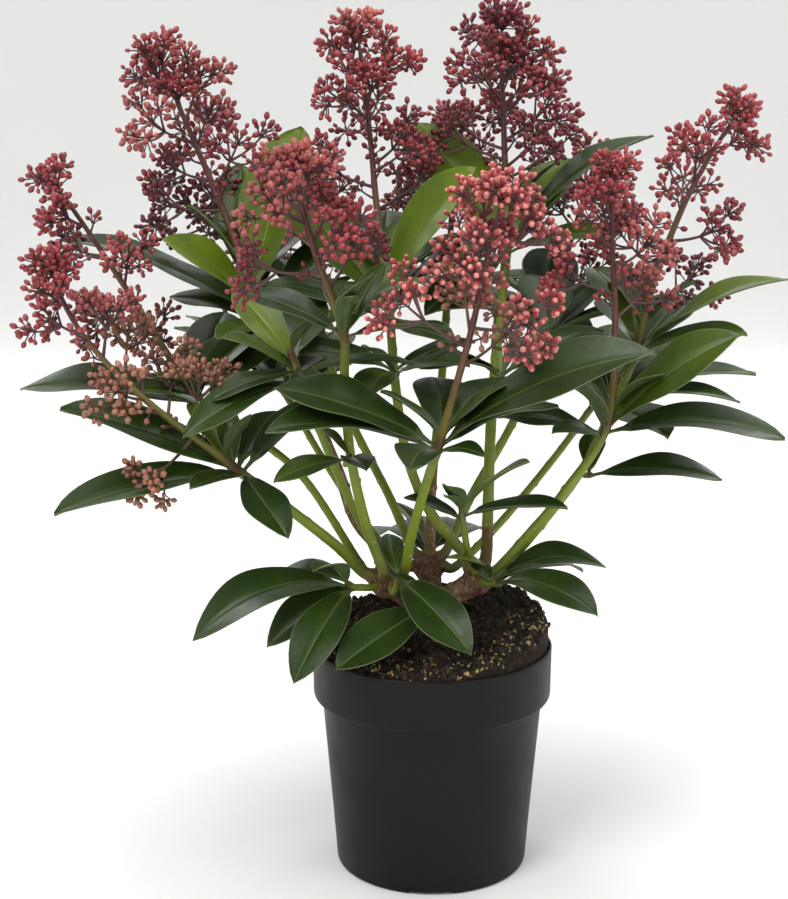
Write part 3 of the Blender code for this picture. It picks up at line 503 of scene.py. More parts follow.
def spray_seat(stretch, share, top=1.0):
    """A spray's foot, the way of the axis there, and its lean and its length in millimetres."""
    head = HEADS[stretch.name]
    s = mix(stretch.start, stretch.end, mix(head.bare, top, share))
    crowd = share ** SPRAY_CROWD
    lean = math.radians(mix(*SPRAY_LEAN, crowd))
    return stretch.line.at(s), stretch.line.tangent(s), lean, mix(*head.reach, crowd)


def grow_sprays(plan, draw):
    """Sprays that wind up each axis by the golden angle, shorter and steeper to the top."""
    sprays = []
    for name, stretch in plan.heads.items():
        tree = node_tree_of(f"head_{name}")
        size = KNOB_RADIUS * HEADS[name].width
        count = HEADS[name].sprays
        for i in range(count):
            base, axis, lean, length = spray_seat(stretch, i / (count - 1))
            length = length * mix(*SPRAY_VARY, draw.random()) * MM
            ways = [spread_around(axis, lean, i * SPRAY_TURN + math.radians(turn))
                    for turn in SPRAY_TURNS]
            misses = [tree.find(base + way * (length + size))[2] for way in ways]
            if min(misses) < SPRAY_MISS:
                way = ways[misses.index(min(misses))]
                sprays.append(Spray(name, i / (count - 1), base, way, length, size))
    return sprays


def grow_sprays_between(plan, sprays, draw):
    """Smaller sprays in the widest gaps of the densest heads, no further out than the rest."""
    more = []
    for name, count in SPRAYS_BETWEEN.items():
        tree = node_tree_of(f"head_{name}")
        size = BETWEEN_SIZE * KNOB_RADIUS * HEADS[name].width
        ends = [spray.base + spray.along * spray.length for spray in sprays if spray.head == name]
        for i in range(count):
            share = (i + 0.6) / count
            base, axis, lean, length = spray_seat(plan.heads[name], share, BETWEEN_TOP)
            length = length * draw.uniform(*BETWEEN_LENGTHS) * MM
            ways = [spread_around(axis, lean, math.radians(turn)) for turn in range(0, 360, 20)]
            free = [way for way in ways if tree.find(base + way * length)[2] <= SPRAY_MISS]
            if free:
                way = max(free, key=lambda way: min((base + way * length - end).length
                                                    for end in ends))
                ends.append(base + way * length)
                more.append(Spray(name, share, base, way, length, size))
    return more


def grow_sprays_hanging(plan):
    sprays = []
    for name, start, end in SPRAYS_HANGING:
        base = plan.heads[name].line.at(start * MM)
        reach = Vector(end) * MM - base
        sprays.append(Spray(name, 0, base, reach.normalized(), reach.length,
                            HANGING_SIZE * KNOB_RADIUS))
    return sprays


def grow_leaves_hidden(plan, trees, draw):
    """Leaves at even turns over a sector, from low on the stem to its top."""
    leaves = []
    for name, stretch in plan.leafy.items():
        fill = FILLS.get(name)
        for i in range(fill.count if fill else 0):
            share = (i + 0.5) / fill.count
            drop = mix(stretch.end - stretch.start - FILL_MARGINS[0], FILL_MARGINS[1], share)
            heading = fill.first + fill.span * ((i * FILL_STEP) % 1)
            rise = mix(*fill.rise, draw.random())
            length = mix(*fill.length, draw.random()) * MM
            leaf = seat_leaf(stretch, HIDDEN_LEAF + i, drop, heading, rise, length,
                             (heading, FILL_LEAN), RULE_TURNS, trees[name])
            if leaf:
                leaves.append(leaf)
    return leaves


def grow_leaves_inner(plan, leaves, draw):
    """Short young leaves around each axis, inside the reach of the whorl below them."""
    more = []
    for name, stretch in plan.leafy.items():
        lengths = [leaf.length for leaf in leaves if leaf.mass == name]
        if not lengths:
            continue
        mean = sum(lengths) / len(lengths)
        for i in range(INNER_LEAVES if name in plan.heads else 1):
            heading = 60 + 137.5 * i + draw.uniform(*INNER_WANDER) + 40 * len(lengths)
            frame_of_leaf = leaf_frame(heading, draw.uniform(*INNER_RISE), (heading, FILL_LEAN))
            length = mean * draw.uniform(*INNER_LENGTHS)
            base = stretch.line.at(stretch.end - draw.uniform(*INNER_DROPS) * MM)
            more.append(Leaf(name, INNER_LEAF + i, base, *frame_of_leaf, length))
    return more


# The whole growth is worked out once and shared by the operators
Growth = namedtuple("Growth", "plan leaves sprays")
grown = []


def grow():
    if not grown:
        plan = Plan()
        trees = {name: node_tree_of(f"leaves_{name}") for name in plan.leafy}
        draw = random.Random(SEED)
        leaves = grow_leaves_shown(plan, trees)
        sprays = grow_sprays(plan, draw)
        leaves += grow_leaves_hidden(plan, trees, draw)
        sprays += grow_sprays_between(plan, sprays, draw)
        sprays += grow_sprays_hanging(plan)
        leaves += grow_leaves_inner(plan, leaves, draw)
        grown.append(Growth(plan, leaves, sprays))
    return grown[0]


# Meshes and objects


def drawn_mesh(name, points, faces=(), edges=()):
    mesh = bpy.data.meshes.new(name)
    mesh.from_pydata([tuple(point) for point in points], edges, faces)
    return mesh


def mesh_of(bm, name):
    mesh = bpy.data.meshes.new(name)
    bm.to_mesh(mesh)
    bm.free()
    return mesh


def band(low, high, count):
    """Faces of the band between two rings of corners, seen from outside."""
    return [(low + j, low + (j + 1) % count, high + (j + 1) % count, high + j)
            for j in range(count)]


def mark(mesh, name, kind, values, domain="POINT"):
    """Give each corner or face of a mesh its own value under a name."""
    layer = mesh.attributes.new(name, kind, domain)
    if kind == "FLOAT_VECTOR":
        numbers = np.array([tuple(value) for value in values], np.float32)
        layer.data.foreach_set("vector", numbers.ravel())
    else:
        layer.data.foreach_set("value", list(values))


class Sheaf:
    """Corners and faces of many like shapes, gathered to be joined as one mesh."""

    def __init__(self):
        self.points, self.faces, self.slots, self.marks, self.uvs = [], [], [], [], []

    def add(self, points, faces, slots, uvs=None, marks=None):
        start = len(self.points)
        self.points.extend(points)
        self.faces.extend([tuple(start + i for i in face) for face in faces])
        self.slots.extend(slots)
        self.uvs.extend(uvs or [(0, 0)] * len(points))
        self.marks.extend(marks or [0.0] * len(points))

    def mesh(self, name, materials=(), mark_name=None):
        mesh = drawn_mesh(name, self.points, self.faces)
        for material in materials:
            mesh.materials.append(material)
        mesh.polygons.foreach_set("material_index", self.slots)
        mesh.shade_smooth()
        layer = mesh.uv_layers.new(name="UVMap")
        corners = np.empty(len(mesh.loops), np.int32)
        mesh.loops.foreach_get("vertex_index", corners)
        layer.data.foreach_set("uv", np.array(self.uvs, np.float32)[corners].ravel())
        if mark_name:
            mark(mesh, mark_name, "FLOAT", self.marks)
        mesh.update()
        return mesh


def in_scene(name, data):
    obj = bpy.data.objects.new(name, data)
    bpy.context.scene.collection.objects.link(obj)
    return obj


def show(mesh, name, *nodes, slot, paint=None):
    """A finished piece that rides on the part's one body and stands for these nodes."""
    mesh.name = name
    if paint:
        mesh.materials.clear()
        mesh.materials.append(paint)
    piece = in_scene(name, mesh)
    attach(piece, "root")
    if nodes:
        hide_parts(*nodes)


def scratch(mesh):
    """An object that only carries a mesh through a modifier, and is then thrown away."""
    return in_scene("scratch", mesh)


def throw_away(*objects):
    for obj in objects:
        data = obj.data
        bpy.data.objects.remove(obj)
        bpy.data.meshes.remove(data)


def modify(obj, kind, **values):
    made = obj.modifiers.new(kind.lower(), kind)
    for key, value in values.items():
        setattr(made, key, value)


def evaluated_mesh(obj):
    """The object's mesh with its modifiers applied, as plain new data."""
    graph = bpy.context.evaluated_depsgraph_get()
    return bpy.data.meshes.new_from_object(obj.evaluated_get(graph))


class Nodes:
    """A node tree, built call by call. A plain value is set on its socket, a socket is linked."""

    def put(self, node, key, value):
        socket = node.inputs[key if isinstance(key, int) else key.replace("_", " ")]
        if isinstance(value, bpy.types.NodeSocket):
            self.tree.links.new(value, socket)
        else:
            socket.default_value = value

    def node(self, kind, settings=None, **inputs):
        made = self.tree.nodes.new(kind)
        for key, value in (settings or {}).items():
            setattr(made, key, value)
        for key, value in inputs.items():
            self.put(made, key, value)
        return made

    def out(self, output, kind, settings=None, **inputs):
        """One output of a new node."""
        return self.node(kind, settings, **inputs).outputs[output]


# Materials


def shade(colour, red, green=None, blue=None):
    """The colour made darker or lighter, by one share or by one for each channel."""
    shares = (red, red if green is None else green, red if blue is None else blue)
    return tuple(part * share for part, share in zip(colour, shares))


def tinted(colour, other, share):
    return tuple(mix(a, b, share) for a, b in zip(colour, other))


def with_alpha(value):
    """A colour with its fourth number, or the socket that gives one."""
    return value if isinstance(value, bpy.types.NodeSocket) else (*value[:3], 1)


class Paint(Nodes):
    """A material on the object's own coordinates."""

    def __init__(self, name):
        self.material = bpy.data.materials.new(name)
        self.material.use_nodes = True
        self.tree = self.material.node_tree
        self.shader = self.tree.nodes["Principled BSDF"]
        self.coords = self.out("Object", "ShaderNodeTexCoord")

    def noise(self, scale, detail=4.0, roughness=0.55, flat=None):
        """Noise, drawn out along Z where flat is given."""
        coords = self.coords
        if flat:
            coords = self.out("Vector", "ShaderNodeMapping", Vector=coords, Scale=(1.0, 1.0, flat))
        return self.out("Fac", "ShaderNodeTexNoise", Vector=coords, Scale=scale, Detail=detail,
                        Roughness=roughness)

    def ramp(self, factor, *stops):
        """A colour ramp from (place, colour) stops, where a number is a grey."""
        made = self.node("ShaderNodeValToRGB", Fac=factor)
        points = made.color_ramp.elements
        while len(points) < len(stops):
            points.new(0.5)
        for point, (place, _) in zip(points, stops):
            point.position = place
        for point, (_, colour) in zip(points, stops):
            point.color = with_alpha(colour if hasattr(colour, "__len__") else (colour,) * 3)
        return made.outputs["Color"]

    def clouds(self, colour, scale, detail, *stops):
        """Soft patches of one colour, from (place, shares of the colour) stops."""
        shades = [(place, shade(colour, *shares)) for place, *shares in stops]
        return self.ramp(self.noise(scale, detail), *shades)

    def math(self, operation, a, b=0.0):
        made = self.node("ShaderNodeMath", {"operation": operation})
        self.put(made, 0, a)
        self.put(made, 1, b)
        return made.outputs[0]

    def times(self, a, b):
        return self.math("MULTIPLY", a, b)

    def less(self, a, b):
        return self.math("SUBTRACT", a, b)

    def blend(self, factor, a, b, how="MIX"):
        made = self.node("ShaderNodeMix", {"data_type": "RGBA", "blend_type": how})
        for key, value in ((0, factor), (6, with_alpha(a)), (7, with_alpha(b))):
            self.put(made, key, value)
        return made.outputs[2]

    def set(self, **values):
        for key, value in values.items():
            self.put(self.shader, key, value)

    def finish(self, colour, bump=None, distance=0.0, strength=1.0, **values):
        """Close the material with its colour, its relief and its gloss."""
        self.set(Base_Color=with_alpha(colour), **values)
        if bump:
            self.set(Normal=self.out("Normal", "ShaderNodeBump", Strength=strength,
                                     Distance=distance, Height=bump))
        return self.material


def pot_plastic(settings):
    paint = Paint("pot_plastic")
    colour = paint.clouds(settings.colour, 28.0, 3.0, (0.3, 0.82), (0.75, 1.25, 1.25, 1.28))
    gloss = paint.ramp(paint.noise(60.0), (0.3, 0.44), (0.7, 0.54))
    return paint.finish(colour, paint.noise(900.0, 2.0), 0.00012, 0.35, Roughness=gloss,
                        Specular_IOR_Level=0.19)


def soil_peat(settings):
    paint = Paint("soil_peat")
    colour = settings.colour
    clumps = paint.ramp(paint.noise(160.0, 8.0, 0.7), (0.3, shade(colour, 0.3, 0.28, 0.28)),
                        (0.55, colour), (0.8, shade(colour, 2.6, 2.3, 1.9)))
    return paint.finish(clumps, paint.noise(900.0, 5.0, 0.7), 0.0008, 0.9, Roughness=0.95,
                        Specular_IOR_Level=0.25)


def crumb_paint(name, colour, roughness=0.9):
    paint = Paint(name)
    return paint.finish(paint.clouds(colour, 90.0, 2.0, (0.35, 0.7), (0.65, 1.2)),
                        Roughness=roughness)


def old_bark():
    """Bark of the stump and the knots, pale brown ridges with dark cracks."""
    paint = Paint("old_bark")
    plates = paint.noise(420.0, 6.0, 0.65, flat=0.45)
    colour = paint.ramp(plates, (0.36, (0.045, 0.020, 0.011)), (0.52, (0.16, 0.085, 0.042)),
                        (0.68, (0.34, 0.215, 0.125)))
    warm = paint.ramp(paint.noise(55.0, 2.0), (0.42, (0.75, 0.62, 0.55)), (0.62, (1.0, 1.0, 1.0)))
    return paint.finish(paint.blend(0.8, colour, warm, "MULTIPLY"), plates, 0.0009, 0.8,
                        Roughness=0.82)


def stem_bark(name, colours):
    """Young bark that changes from the knot (0) to the whorl (1) and up the flower axis (2)."""
    paint = Paint(name)
    age = paint.out("Fac", "ShaderNodeAttribute", {"attribute_name": "age"})
    ramp = paint.ramp(paint.math("DIVIDE", age, 2.0), *colours)
    tone = paint.ramp(paint.noise(45.0, 3.0), (0.32, (0.72, 0.78, 0.7)),
                      (0.66, (1.15, 1.08, 1.0)))
    shaded = paint.blend(1.0, ramp, tone, "MULTIPLY")
    fleck = paint.ramp(paint.noise(700.0, 3.0, 0.6), (0.62, 0.0), (0.72, 1.0))
    colour = paint.blend(paint.times(fleck, 0.35), shaded, (0.42, 0.36, 0.16))
    return paint.finish(colour, paint.noise(1100.0, 3.0, 0.6), 0.00025, 0.5, Roughness=0.5,
                        Specular_IOR_Level=0.45)


def flaky_bark():
    """Old bark in tan flakes, with green young bark between them."""
    paint = Paint("flaky_bark")
    flakes = paint.noise(330.0, 5.0, 0.6, flat=0.3)
    colour = paint.ramp(flakes, (0.36, (0.115, 0.155, 0.016)), (0.47, (0.13, 0.060, 0.022)),
                        (0.56, (0.24, 0.135, 0.058)), (0.68, (0.46, 0.34, 0.20)))
    return paint.finish(colour, flakes, 0.0008, 0.7, Roughness=0.75)


def leaf_top(name, colour, roughness):
    """The glossy upper side of a leaf, with faint side veins in the leaf's own map."""
    paint = Paint(name)
    uv = paint.out("UV", "ShaderNodeUVMap", {"uv_map": "UVMap"})
    place = paint.node("ShaderNodeSeparateXYZ", Vector=uv).outputs
    off = paint.math("ABSOLUTE", paint.less(place["X"], 0.5))
    bow = paint.times(paint.times(off, off), 6.0)
    drift = paint.times(paint.noise(60.0, 2.0), 1.1)
    slant = paint.less(paint.times(place["Y"], 10.0), paint.math("ADD", bow, drift))
    wave = paint.math("ABSOLUTE", paint.less(paint.math("FRACT", slant), 0.5))
    vein = paint.ramp(wave, (0.0, 1.0), (0.10, 0.0))
    tone = paint.clouds(colour, 48.0, 4.0, (0.3, 0.62, 0.68, 0.7), (0.52, 1.0),
                        (0.74, 1.55, 1.35, 1.2))
    near = paint.ramp(off, (0.0, 1.0), (0.22, 0.0))
    lit = paint.blend(paint.times(near, 0.32), tone, shade(colour, 2.2, 1.9, 1.4))
    veined = paint.blend(paint.times(vein, 0.10), lit, shade(colour, 2.6, 2.1, 1.6))
    gloss = paint.ramp(paint.noise(120.0, 3.0), (0.3, roughness - 0.05), (0.7, roughness + 0.1))
    relief = paint.math("ADD", paint.times(vein, 0.12), paint.noise(150.0, 4.0))
    return paint.finish(veined, relief, 0.0005, 0.4, Roughness=gloss, Specular_IOR_Level=0.28,
                        Coat_Weight=0.05, Coat_Roughness=0.2)


def leaf_under(name, colour):
    paint = Paint(name)
    return paint.finish(paint.clouds(colour, 70.0, 3.0, (0.3, 0.8), (0.7, 1.2)),
                        paint.noise(500.0, 3.0), 0.0003, 0.4, Roughness=0.5,
                        Specular_IOR_Level=0.4)


def plain_green(name, colour):
    """A narrow part of a leaf, such as its margin or midrib."""
    paint = Paint(name)
    return paint.finish(paint.clouds(colour, 40.0, 2.0, (0.3, 0.82), (0.7, 1.15)), Roughness=0.45)


def bud_skin(name, colour, roughness=0.33):
    """The satin skin of a bud, in one plain colour that drifts slowly over the plant."""
    paint = Paint(name)
    drift = paint.clouds(colour, 36.0, 1.0, (0.34, 0.74, 0.7, 0.74), (0.66, 1.22, 1.2, 1.15))
    return paint.finish(drift, Roughness=roughness, Specular_IOR_Level=0.5)


def studio_paint(settings):
    paint = Paint("studio_floor")
    return paint.finish(paint.clouds(settings.floor_colour, 2.0, 2.0, (0.3, 0.99), (0.7, 1.0)),
                        Roughness=0.9, Specular_IOR_Level=0.1)


# Geometry Nodes


class Tree(Nodes):
    """A Geometry Nodes tree with named inputs."""

    def __init__(self, name, **inputs):
        self.tree = bpy.data.node_groups.new(name, "GeometryNodeTree")
        self.ids = {}
        for label, kind in {"Geometry": "Geometry", **inputs}.items():
            made = self.tree.interface.new_socket(label.replace("_", " "), in_out="INPUT",
                                                  socket_type=f"NodeSocket{kind}")
            self.ids[label] = made.identifier
        self.tree.interface.new_socket("Geometry", in_out="OUTPUT",
                                       socket_type="NodeSocketGeometry")
        self.start = self.tree.nodes.new("NodeGroupInput")
        self.end = self.tree.nodes.new("NodeGroupOutput")

    def given(self, label="Geometry"):
        return self.start.outputs[label.replace("_", " ")]

    def named(self, name, kind):
        return self.out("Attribute", "GeometryNodeInputNamedAttribute", {"data_type": kind},
                        Name=name)

    def on_points(self, points, turn, size):
        """The given shape on every point."""
        shape = self.out("Geometry", "GeometryNodeObjectInfo", Object=self.given("Shape"))
        return self.out("Instances", "GeometryNodeInstanceOnPoints", Points=points,
                        Instance=shape, Rotation=turn, Scale=size)

    def finish(self, geometry, *paints):
        """Realize instances, set the materials and close the tree. A paint is a label and the
        face attribute that it is for, or None."""
        whole = self.out("Geometry", "GeometryNodeRealizeInstances", Geometry=geometry)
        for label, where in paints:
            chosen = {"Selection": self.named(where, "BOOLEAN")} if where else {}
            whole = self.out("Geometry", "GeometryNodeSetMaterial", Geometry=whole,
                             Material=self.given(label), **chosen)
        self.put(self.end, "Geometry", whole)
        return self

    def apply(self, obj, **values):
        """The plain mesh that the tree makes from an object's mesh."""
        modifier = obj.modifiers.new("grow", "NODES")
        modifier.node_group = self.tree
        for label, value in values.items():
            modifier[self.ids[label]] = value
        mesh = evaluated_mesh(obj)
        obj.modifiers.remove(modifier)
        for i in reversed(range(len(mesh.materials))):
            if mesh.materials[i] is None:
                mesh.materials.pop(index=i)
        return mesh


def twig_tree():
    """Round twigs along edges, as thick as each corner says."""
    tree = Tree("twigs_along_lines", Sides="Int", Twig_Paint="Material")
    curve = tree.out("Curve", "GeometryNodeMeshToCurve", Mesh=tree.given())
    ring = tree.out("Curve", "GeometryNodeCurvePrimitiveCircle", {"mode": "RADIUS"},
                    Resolution=tree.given("Sides"), Radius=1.0)
    skin = tree.out("Mesh", "GeometryNodeCurveToMesh", Curve=curve, Profile_Curve=ring,
                    Scale=tree.named("thick", "FLOAT"), Fill_Caps=True)
    smooth = tree.out("Geometry", "GeometryNodeSetShadeSmooth", Geometry=skin)
    return tree.finish(smooth, ("Twig_Paint", None))


def bud_tree():
    """One shape on each corner, turned to its aim and as large as its size."""
    tree = Tree("buds_on_twigs", Shape="Object", Skin_Paint="Material", Tip_Paint="Material")
    points = tree.out("Points", "GeometryNodeMeshToPoints", Mesh=tree.given())
    turn = tree.out("Rotation", "FunctionNodeAlignRotationToVector", {"axis": "Z"},
                    Vector=tree.named("aim", "FLOAT_VECTOR"))
    placed = tree.on_points(points, turn, tree.named("size", "FLOAT"))
    return tree.finish(placed, ("Skin_Paint", None), ("Tip_Paint", "tip"))


def crumb_tree():
    """Crumbs scattered over a surface with a fixed seed."""
    tree = Tree("crumbs_on_soil", Shape="Object", Density="Float", Smallest="Float",
                Largest="Float", Seed="Int", Crumb_Paint="Material")
    seed = tree.given("Seed")
    points = tree.out("Points", "GeometryNodeDistributePointsOnFaces", Mesh=tree.given(),
                      Density=tree.given("Density"), Seed=seed)
    spin = tree.node("FunctionNodeRandomValue", {"data_type": "FLOAT_VECTOR"}, Seed=seed)
    size = tree.node("FunctionNodeRandomValue", {"data_type": "FLOAT"}, Seed=seed)
    for node, key, value in ((spin, 0, (0, 0, 0)), (spin, 1, (math.tau,) * 3),
                             (size, 2, tree.given("Smallest")), (size, 3, tree.given("Largest"))):
        tree.put(node, key, value)
    turn = tree.out("Rotation", "FunctionNodeEulerToRotation", Euler=spin.outputs[0])
    return tree.finish(tree.on_points(points, turn, size.outputs[1]), ("Crumb_Paint", None))


# Pot and soil

SOIL_RINGS = 64
SOIL_TURNS = 196
SOIL_WALL_STEPS = 10
CLOD_SIZE = 9 * MM
CRUMB_SIZE = 2.2 * MM


def turned_mesh(name, profile, steps):
    """A skin of revolution about Z from (radius, height) points."""
    bm = bmesh.new()
    corners = [bm.verts.new((radius, 0, height)) for radius, height in profile]
    edges = [bm.edges.new(pair) for pair in zip(corners, corners[1:])]
    bmesh.ops.spin(bm, geom=corners + edges, axis=(0, 0, 1), cent=(0, 0, 0), steps=steps,
                   angle=math.tau, use_merge=True)
    bmesh.ops.remove_doubles(bm, verts=bm.verts, dist=0.01 * MM)
    bmesh.ops.recalc_face_normals(bm, faces=bm.faces)
    return mesh_of(bm, name)


def arc(centre, radius, first, last, steps):
    """Points of a rounded corner in the profile plane, by angles in degrees."""
    turns = [math.radians(mix(first, last, i / steps)) for i in range(steps + 1)]
    return [(centre[0] + radius * math.cos(a), centre[1] + radius * math.sin(a)) for a in turns]


def pot_mesh(steps):
    """The pot's shell: rounded rim, collar with a tucked-in foot, draft, and a rounded base."""
    rim, neck, base, wall = POT_RIM_RADIUS, POT_NECK_RADIUS, POT_BASE_RADIUS, POT_WALL
    foot = POT_HEIGHT - POT_COLLAR_HEIGHT
    lip = wall / 2
    inner = rim - wall
    profile = [(0, POT_FLOOR), (base - 2 * wall, POT_FLOOR), (base - wall, POT_FLOOR + wall),
               (neck - wall, foot - wall), (inner - 0.4 * MM, foot + 2.5 * MM),
               (inner, foot + 8 * MM)]
    profile += arc((rim - lip, POT_HEIGHT - lip), lip, 180, 0, 8)
    profile += [(rim - 0.1 * MM, POT_HEIGHT - 4 * MM), (rim - 0.35 * MM, foot + 5 * MM)]
    profile += arc((rim - 3.0 * MM, foot + 2.7 * MM), 2.6 * MM, 0, -90, 6)
    profile += [(neck + 0.5 * MM, foot + 0.1 * MM), (neck, foot - 0.6 * MM)]
    profile += [(mix(neck, base, t), mix(foot - 0.6 * MM, 3 * MM, t)) for t in (0.25, 0.5, 0.75)]
    profile += arc((base - 1.9 * MM, 2 * MM), 2.0 * MM, -4, -90, 5)
    profile += [(base - 6 * MM, 0), (base - 8 * MM, 0.9 * MM), (0, 0.9 * MM)]
    return turned_mesh("pot_shell", profile, steps)


def notch_cutters():
    """Boxes in a ring that cut the notches of the foot."""
    bm = bmesh.new()
    place = Matrix.Translation((0, -POT_BASE_RADIUS, 0)) @ Matrix.Diagonal((*NOTCH_SIZE, 1))
    for i in range(NOTCHES):
        turn = Matrix.Rotation(math.tau * i / NOTCHES, 4, "Z")
        bmesh.ops.create_cube(bm, size=1.0, matrix=turn @ place)
    return mesh_of(bm, "notches")


def hole_cutters(radius):
    bm = bmesh.new()
    ring = HOLE_RING * POT_BASE_RADIUS
    for i in range(HOLES):
        a = math.tau * (i + 0.5) / HOLES
        place = Matrix.Translation((ring * math.cos(a), ring * math.sin(a), POT_FLOOR / 2))
        bmesh.ops.create_cone(bm, cap_ends=True, segments=24, radius1=radius, radius2=radius,
                              depth=3 * POT_FLOOR, matrix=place)
    return mesh_of(bm, "holes")


def make_pot_shell(settings):
    host = scratch(pot_mesh(settings.steps))
    cutters = [scratch(notch_cutters()), scratch(hole_cutters(settings.hole_radius))]
    for cutter in cutters:
        modify(host, "BOOLEAN", operation="DIFFERENCE", object=cutter)
    modify(host, "BEVEL", width=0.4 * MM, segments=2, limit_method="ANGLE",
           angle_limit=math.radians(50))
    mesh = evaluated_mesh(host)
    throw_away(host, *cutters)
    mesh.shade_smooth()
    mesh.set_sharp_from_angle(angle=math.radians(32))
    show(mesh, "pot_shell", "pot", slot="pot", paint=pot_plastic(settings))


def soil_level(x, y):
    """Height of the soil's surface, flat under the stump and rising to the back and right."""
    away = math.hypot(x - FOOT_CENTRE.x, y - FOOT_CENTRE.y)
    share = smooth_step((away - FOOT_FLAT) / FOOT_BLEND)
    pitch = math.tau / SOIL_LUMP_PITCH
    lumps = SOIL_LUMP * math.sin(pitch * x + 1) * math.cos(1.2 * pitch * y)
    open_level = SOIL_MIDDLE + SOIL_SLOPE_X * x + SOIL_SLOPE_Y * y + lumps
    return mix(FOOT_LEVEL, max(open_level, POT_HEIGHT + MM), share)


def rough(x, y, z, size):
    return noise.fractal(Vector((x, y, z)) / size, 0.9, 2.1, 4)


def soil_height(x, y, lump):
    """The level with clods and crumbs on it."""
    clods = rough(x, y, 0.0, CLOD_SIZE) * lump + rough(x, y, 0.4, CRUMB_SIZE) * lump * 0.35
    return soil_level(x, y) + clods


def soil_meshes(lump):
    """The plug of soil as a closed skin, and its top alone for the crumbs to lie on."""
    rings, turns, steps = SOIL_RINGS, SOIL_TURNS, SOIL_WALL_STEPS
    ways = [(math.cos(math.tau * j / turns), math.sin(math.tau * j / turns))
            for j in range(turns)]
    radius = POT_RIM_RADIUS - POT_WALL - 0.5 * MM
    points = [(0, 0, soil_height(0, 0, lump))]
    for i in range(1, rings + 1):
        reach = i / rings * radius
        edge = smooth_step((i / rings - 0.93) / 0.07)
        for c, s in ways:
            ragged = rough(reach * c, reach * s, 0.9, 5 * MM) * 1.1 * MM * edge
            out = reach + ragged - 0.7 * MM * edge
            x, y = out * c, out * s
            points.append((x, y, soil_height(x, y, lump) - 2.6 * MM * edge * edge))
    faces = [(0, 1 + j, 1 + (j + 1) % turns) for j in range(turns)]
    for i in range(rings - 1):
        low = 1 + i * turns
        faces += [(a, d, c, b) for a, b, c, d in band(low, low + turns, turns)]
    top_faces = len(faces)
    inside = POT_RIM_RADIUS - POT_WALL - 0.6 * MM
    last = len(points) - turns
    for i in range(1, steps + 1):
        start = len(points)
        for j, (c, s) in enumerate(ways):
            x, y, z = points[last + j]
            wall = min(inside, math.hypot(x, y) + 0.9 * MM * smooth_step(i / 4))
            high = mix(z, POT_HEIGHT - 8 * MM, i / steps)
            if high > POT_HEIGHT:
                wall += rough(c, s, high * 20, 0.12) * 0.5 * MM
            points.append((wall * c, wall * s, high))
        faces += [(a, d, c, b) for a, b, c, d in band(start - turns, start, turns)]
    faces.append(tuple(reversed(range(len(points) - turns, len(points)))))
    skin = drawn_mesh("soil_mound", points, faces)
    skin.shade_smooth()
    return skin, drawn_mesh("soil_top", points, faces[:top_faces])


def crumb_shape(flat, seed):
    """One lumpy crumb of about unit size, or a flake where flat is small."""
    bm = bmesh.new()
    bmesh.ops.create_icosphere(bm, subdivisions=1, radius=0.5)
    for corner in bm.verts:
        push = 1 + 0.35 * noise.noise(corner.co * 2.3 + Vector((seed, 0, 0)))
        corner.co = Vector((corner.co.x * push * 1.25, corner.co.y * push,
                            corner.co.z * push * flat))
    return mesh_of(bm, "crumb")


def near_front(corner):
    """Whether a place on the soil lies along the rim, in front."""
    away = math.hypot(corner.x, corner.y) / POT_RIM_RADIUS
    return away > 0.62 and corner.y < 0.25 * POT_RIM_RADIUS


def make_soil(settings):
    skin, top = soil_meshes(settings.lump)
    show(skin, "soil_mound", "soil", slot="soil", paint=soil_peat(settings))
    rim = drawn_mesh("soil_front", [corner.co for corner in top.vertices],
                     [tuple(face.vertices) for face in top.polygons if near_front(face.center)])
    everywhere, front = scratch(top), scratch(rim)
    tree = crumb_tree()
    # Name, where it lies, colour, flatness, how many, and the smallest and largest in millimetres
    kinds = (
        ("peat_crumbs", everywhere, settings.colour, 0.75, settings.crumbs, 1.0, 4.2),
        ("bark_chips", everywhere, settings.chip_colour, 0.36, settings.chips, 1.2, 3.8),
        ("bark_chips_in_front", front, settings.light_chip_colour, 0.42, settings.chips, 1.0, 3.2),
        ("pale_grit", front, settings.grit_colour, 0.7, settings.grit, 0.8, 2.2),
        ("moss_bits", front, settings.moss_colour, 0.45, settings.moss, 1.0, 2.6),
    )
    for seed, (name, host, colour, flat, count, small, large) in enumerate(kinds):
        shape = scratch(crumb_shape(flat, seed))
        area = sum(face.area for face in host.data.polygons)
        mesh = tree.apply(host, Shape=shape, Density=count / area, Smallest=small * MM,
                          Largest=large * MM, Seed=seed + 3,
                          Crumb_Paint=crumb_paint(f"{name}_paint", colour))
        throw_away(shape)
        show(mesh, name, slot="soil")
    throw_away(everywhere, front)


# Stems

# How far a stem reaches back into its knot, the distance between its rings, and its scars
STEM_FOOT = 5 * MM
STEM_STEP = 1.5 * MM
STEM_SIDES = 12
NODE_RING = 0.06
SCAR_PITCH = 13 * MM
SCAR_WIDTH = 1.3 * MM
SCAR_DEPTH = 0.14
SIDE_FOOT = 4 * MM
SIDE_STEP = 1.3 * MM
SIDE_SIDES = 10
SIDE_SCAR_PITCH = 9 * MM
SIDE_SCAR_DEPTH = 0.12
SCAR_COLOUR = (0.36, 0.27, 0.14)

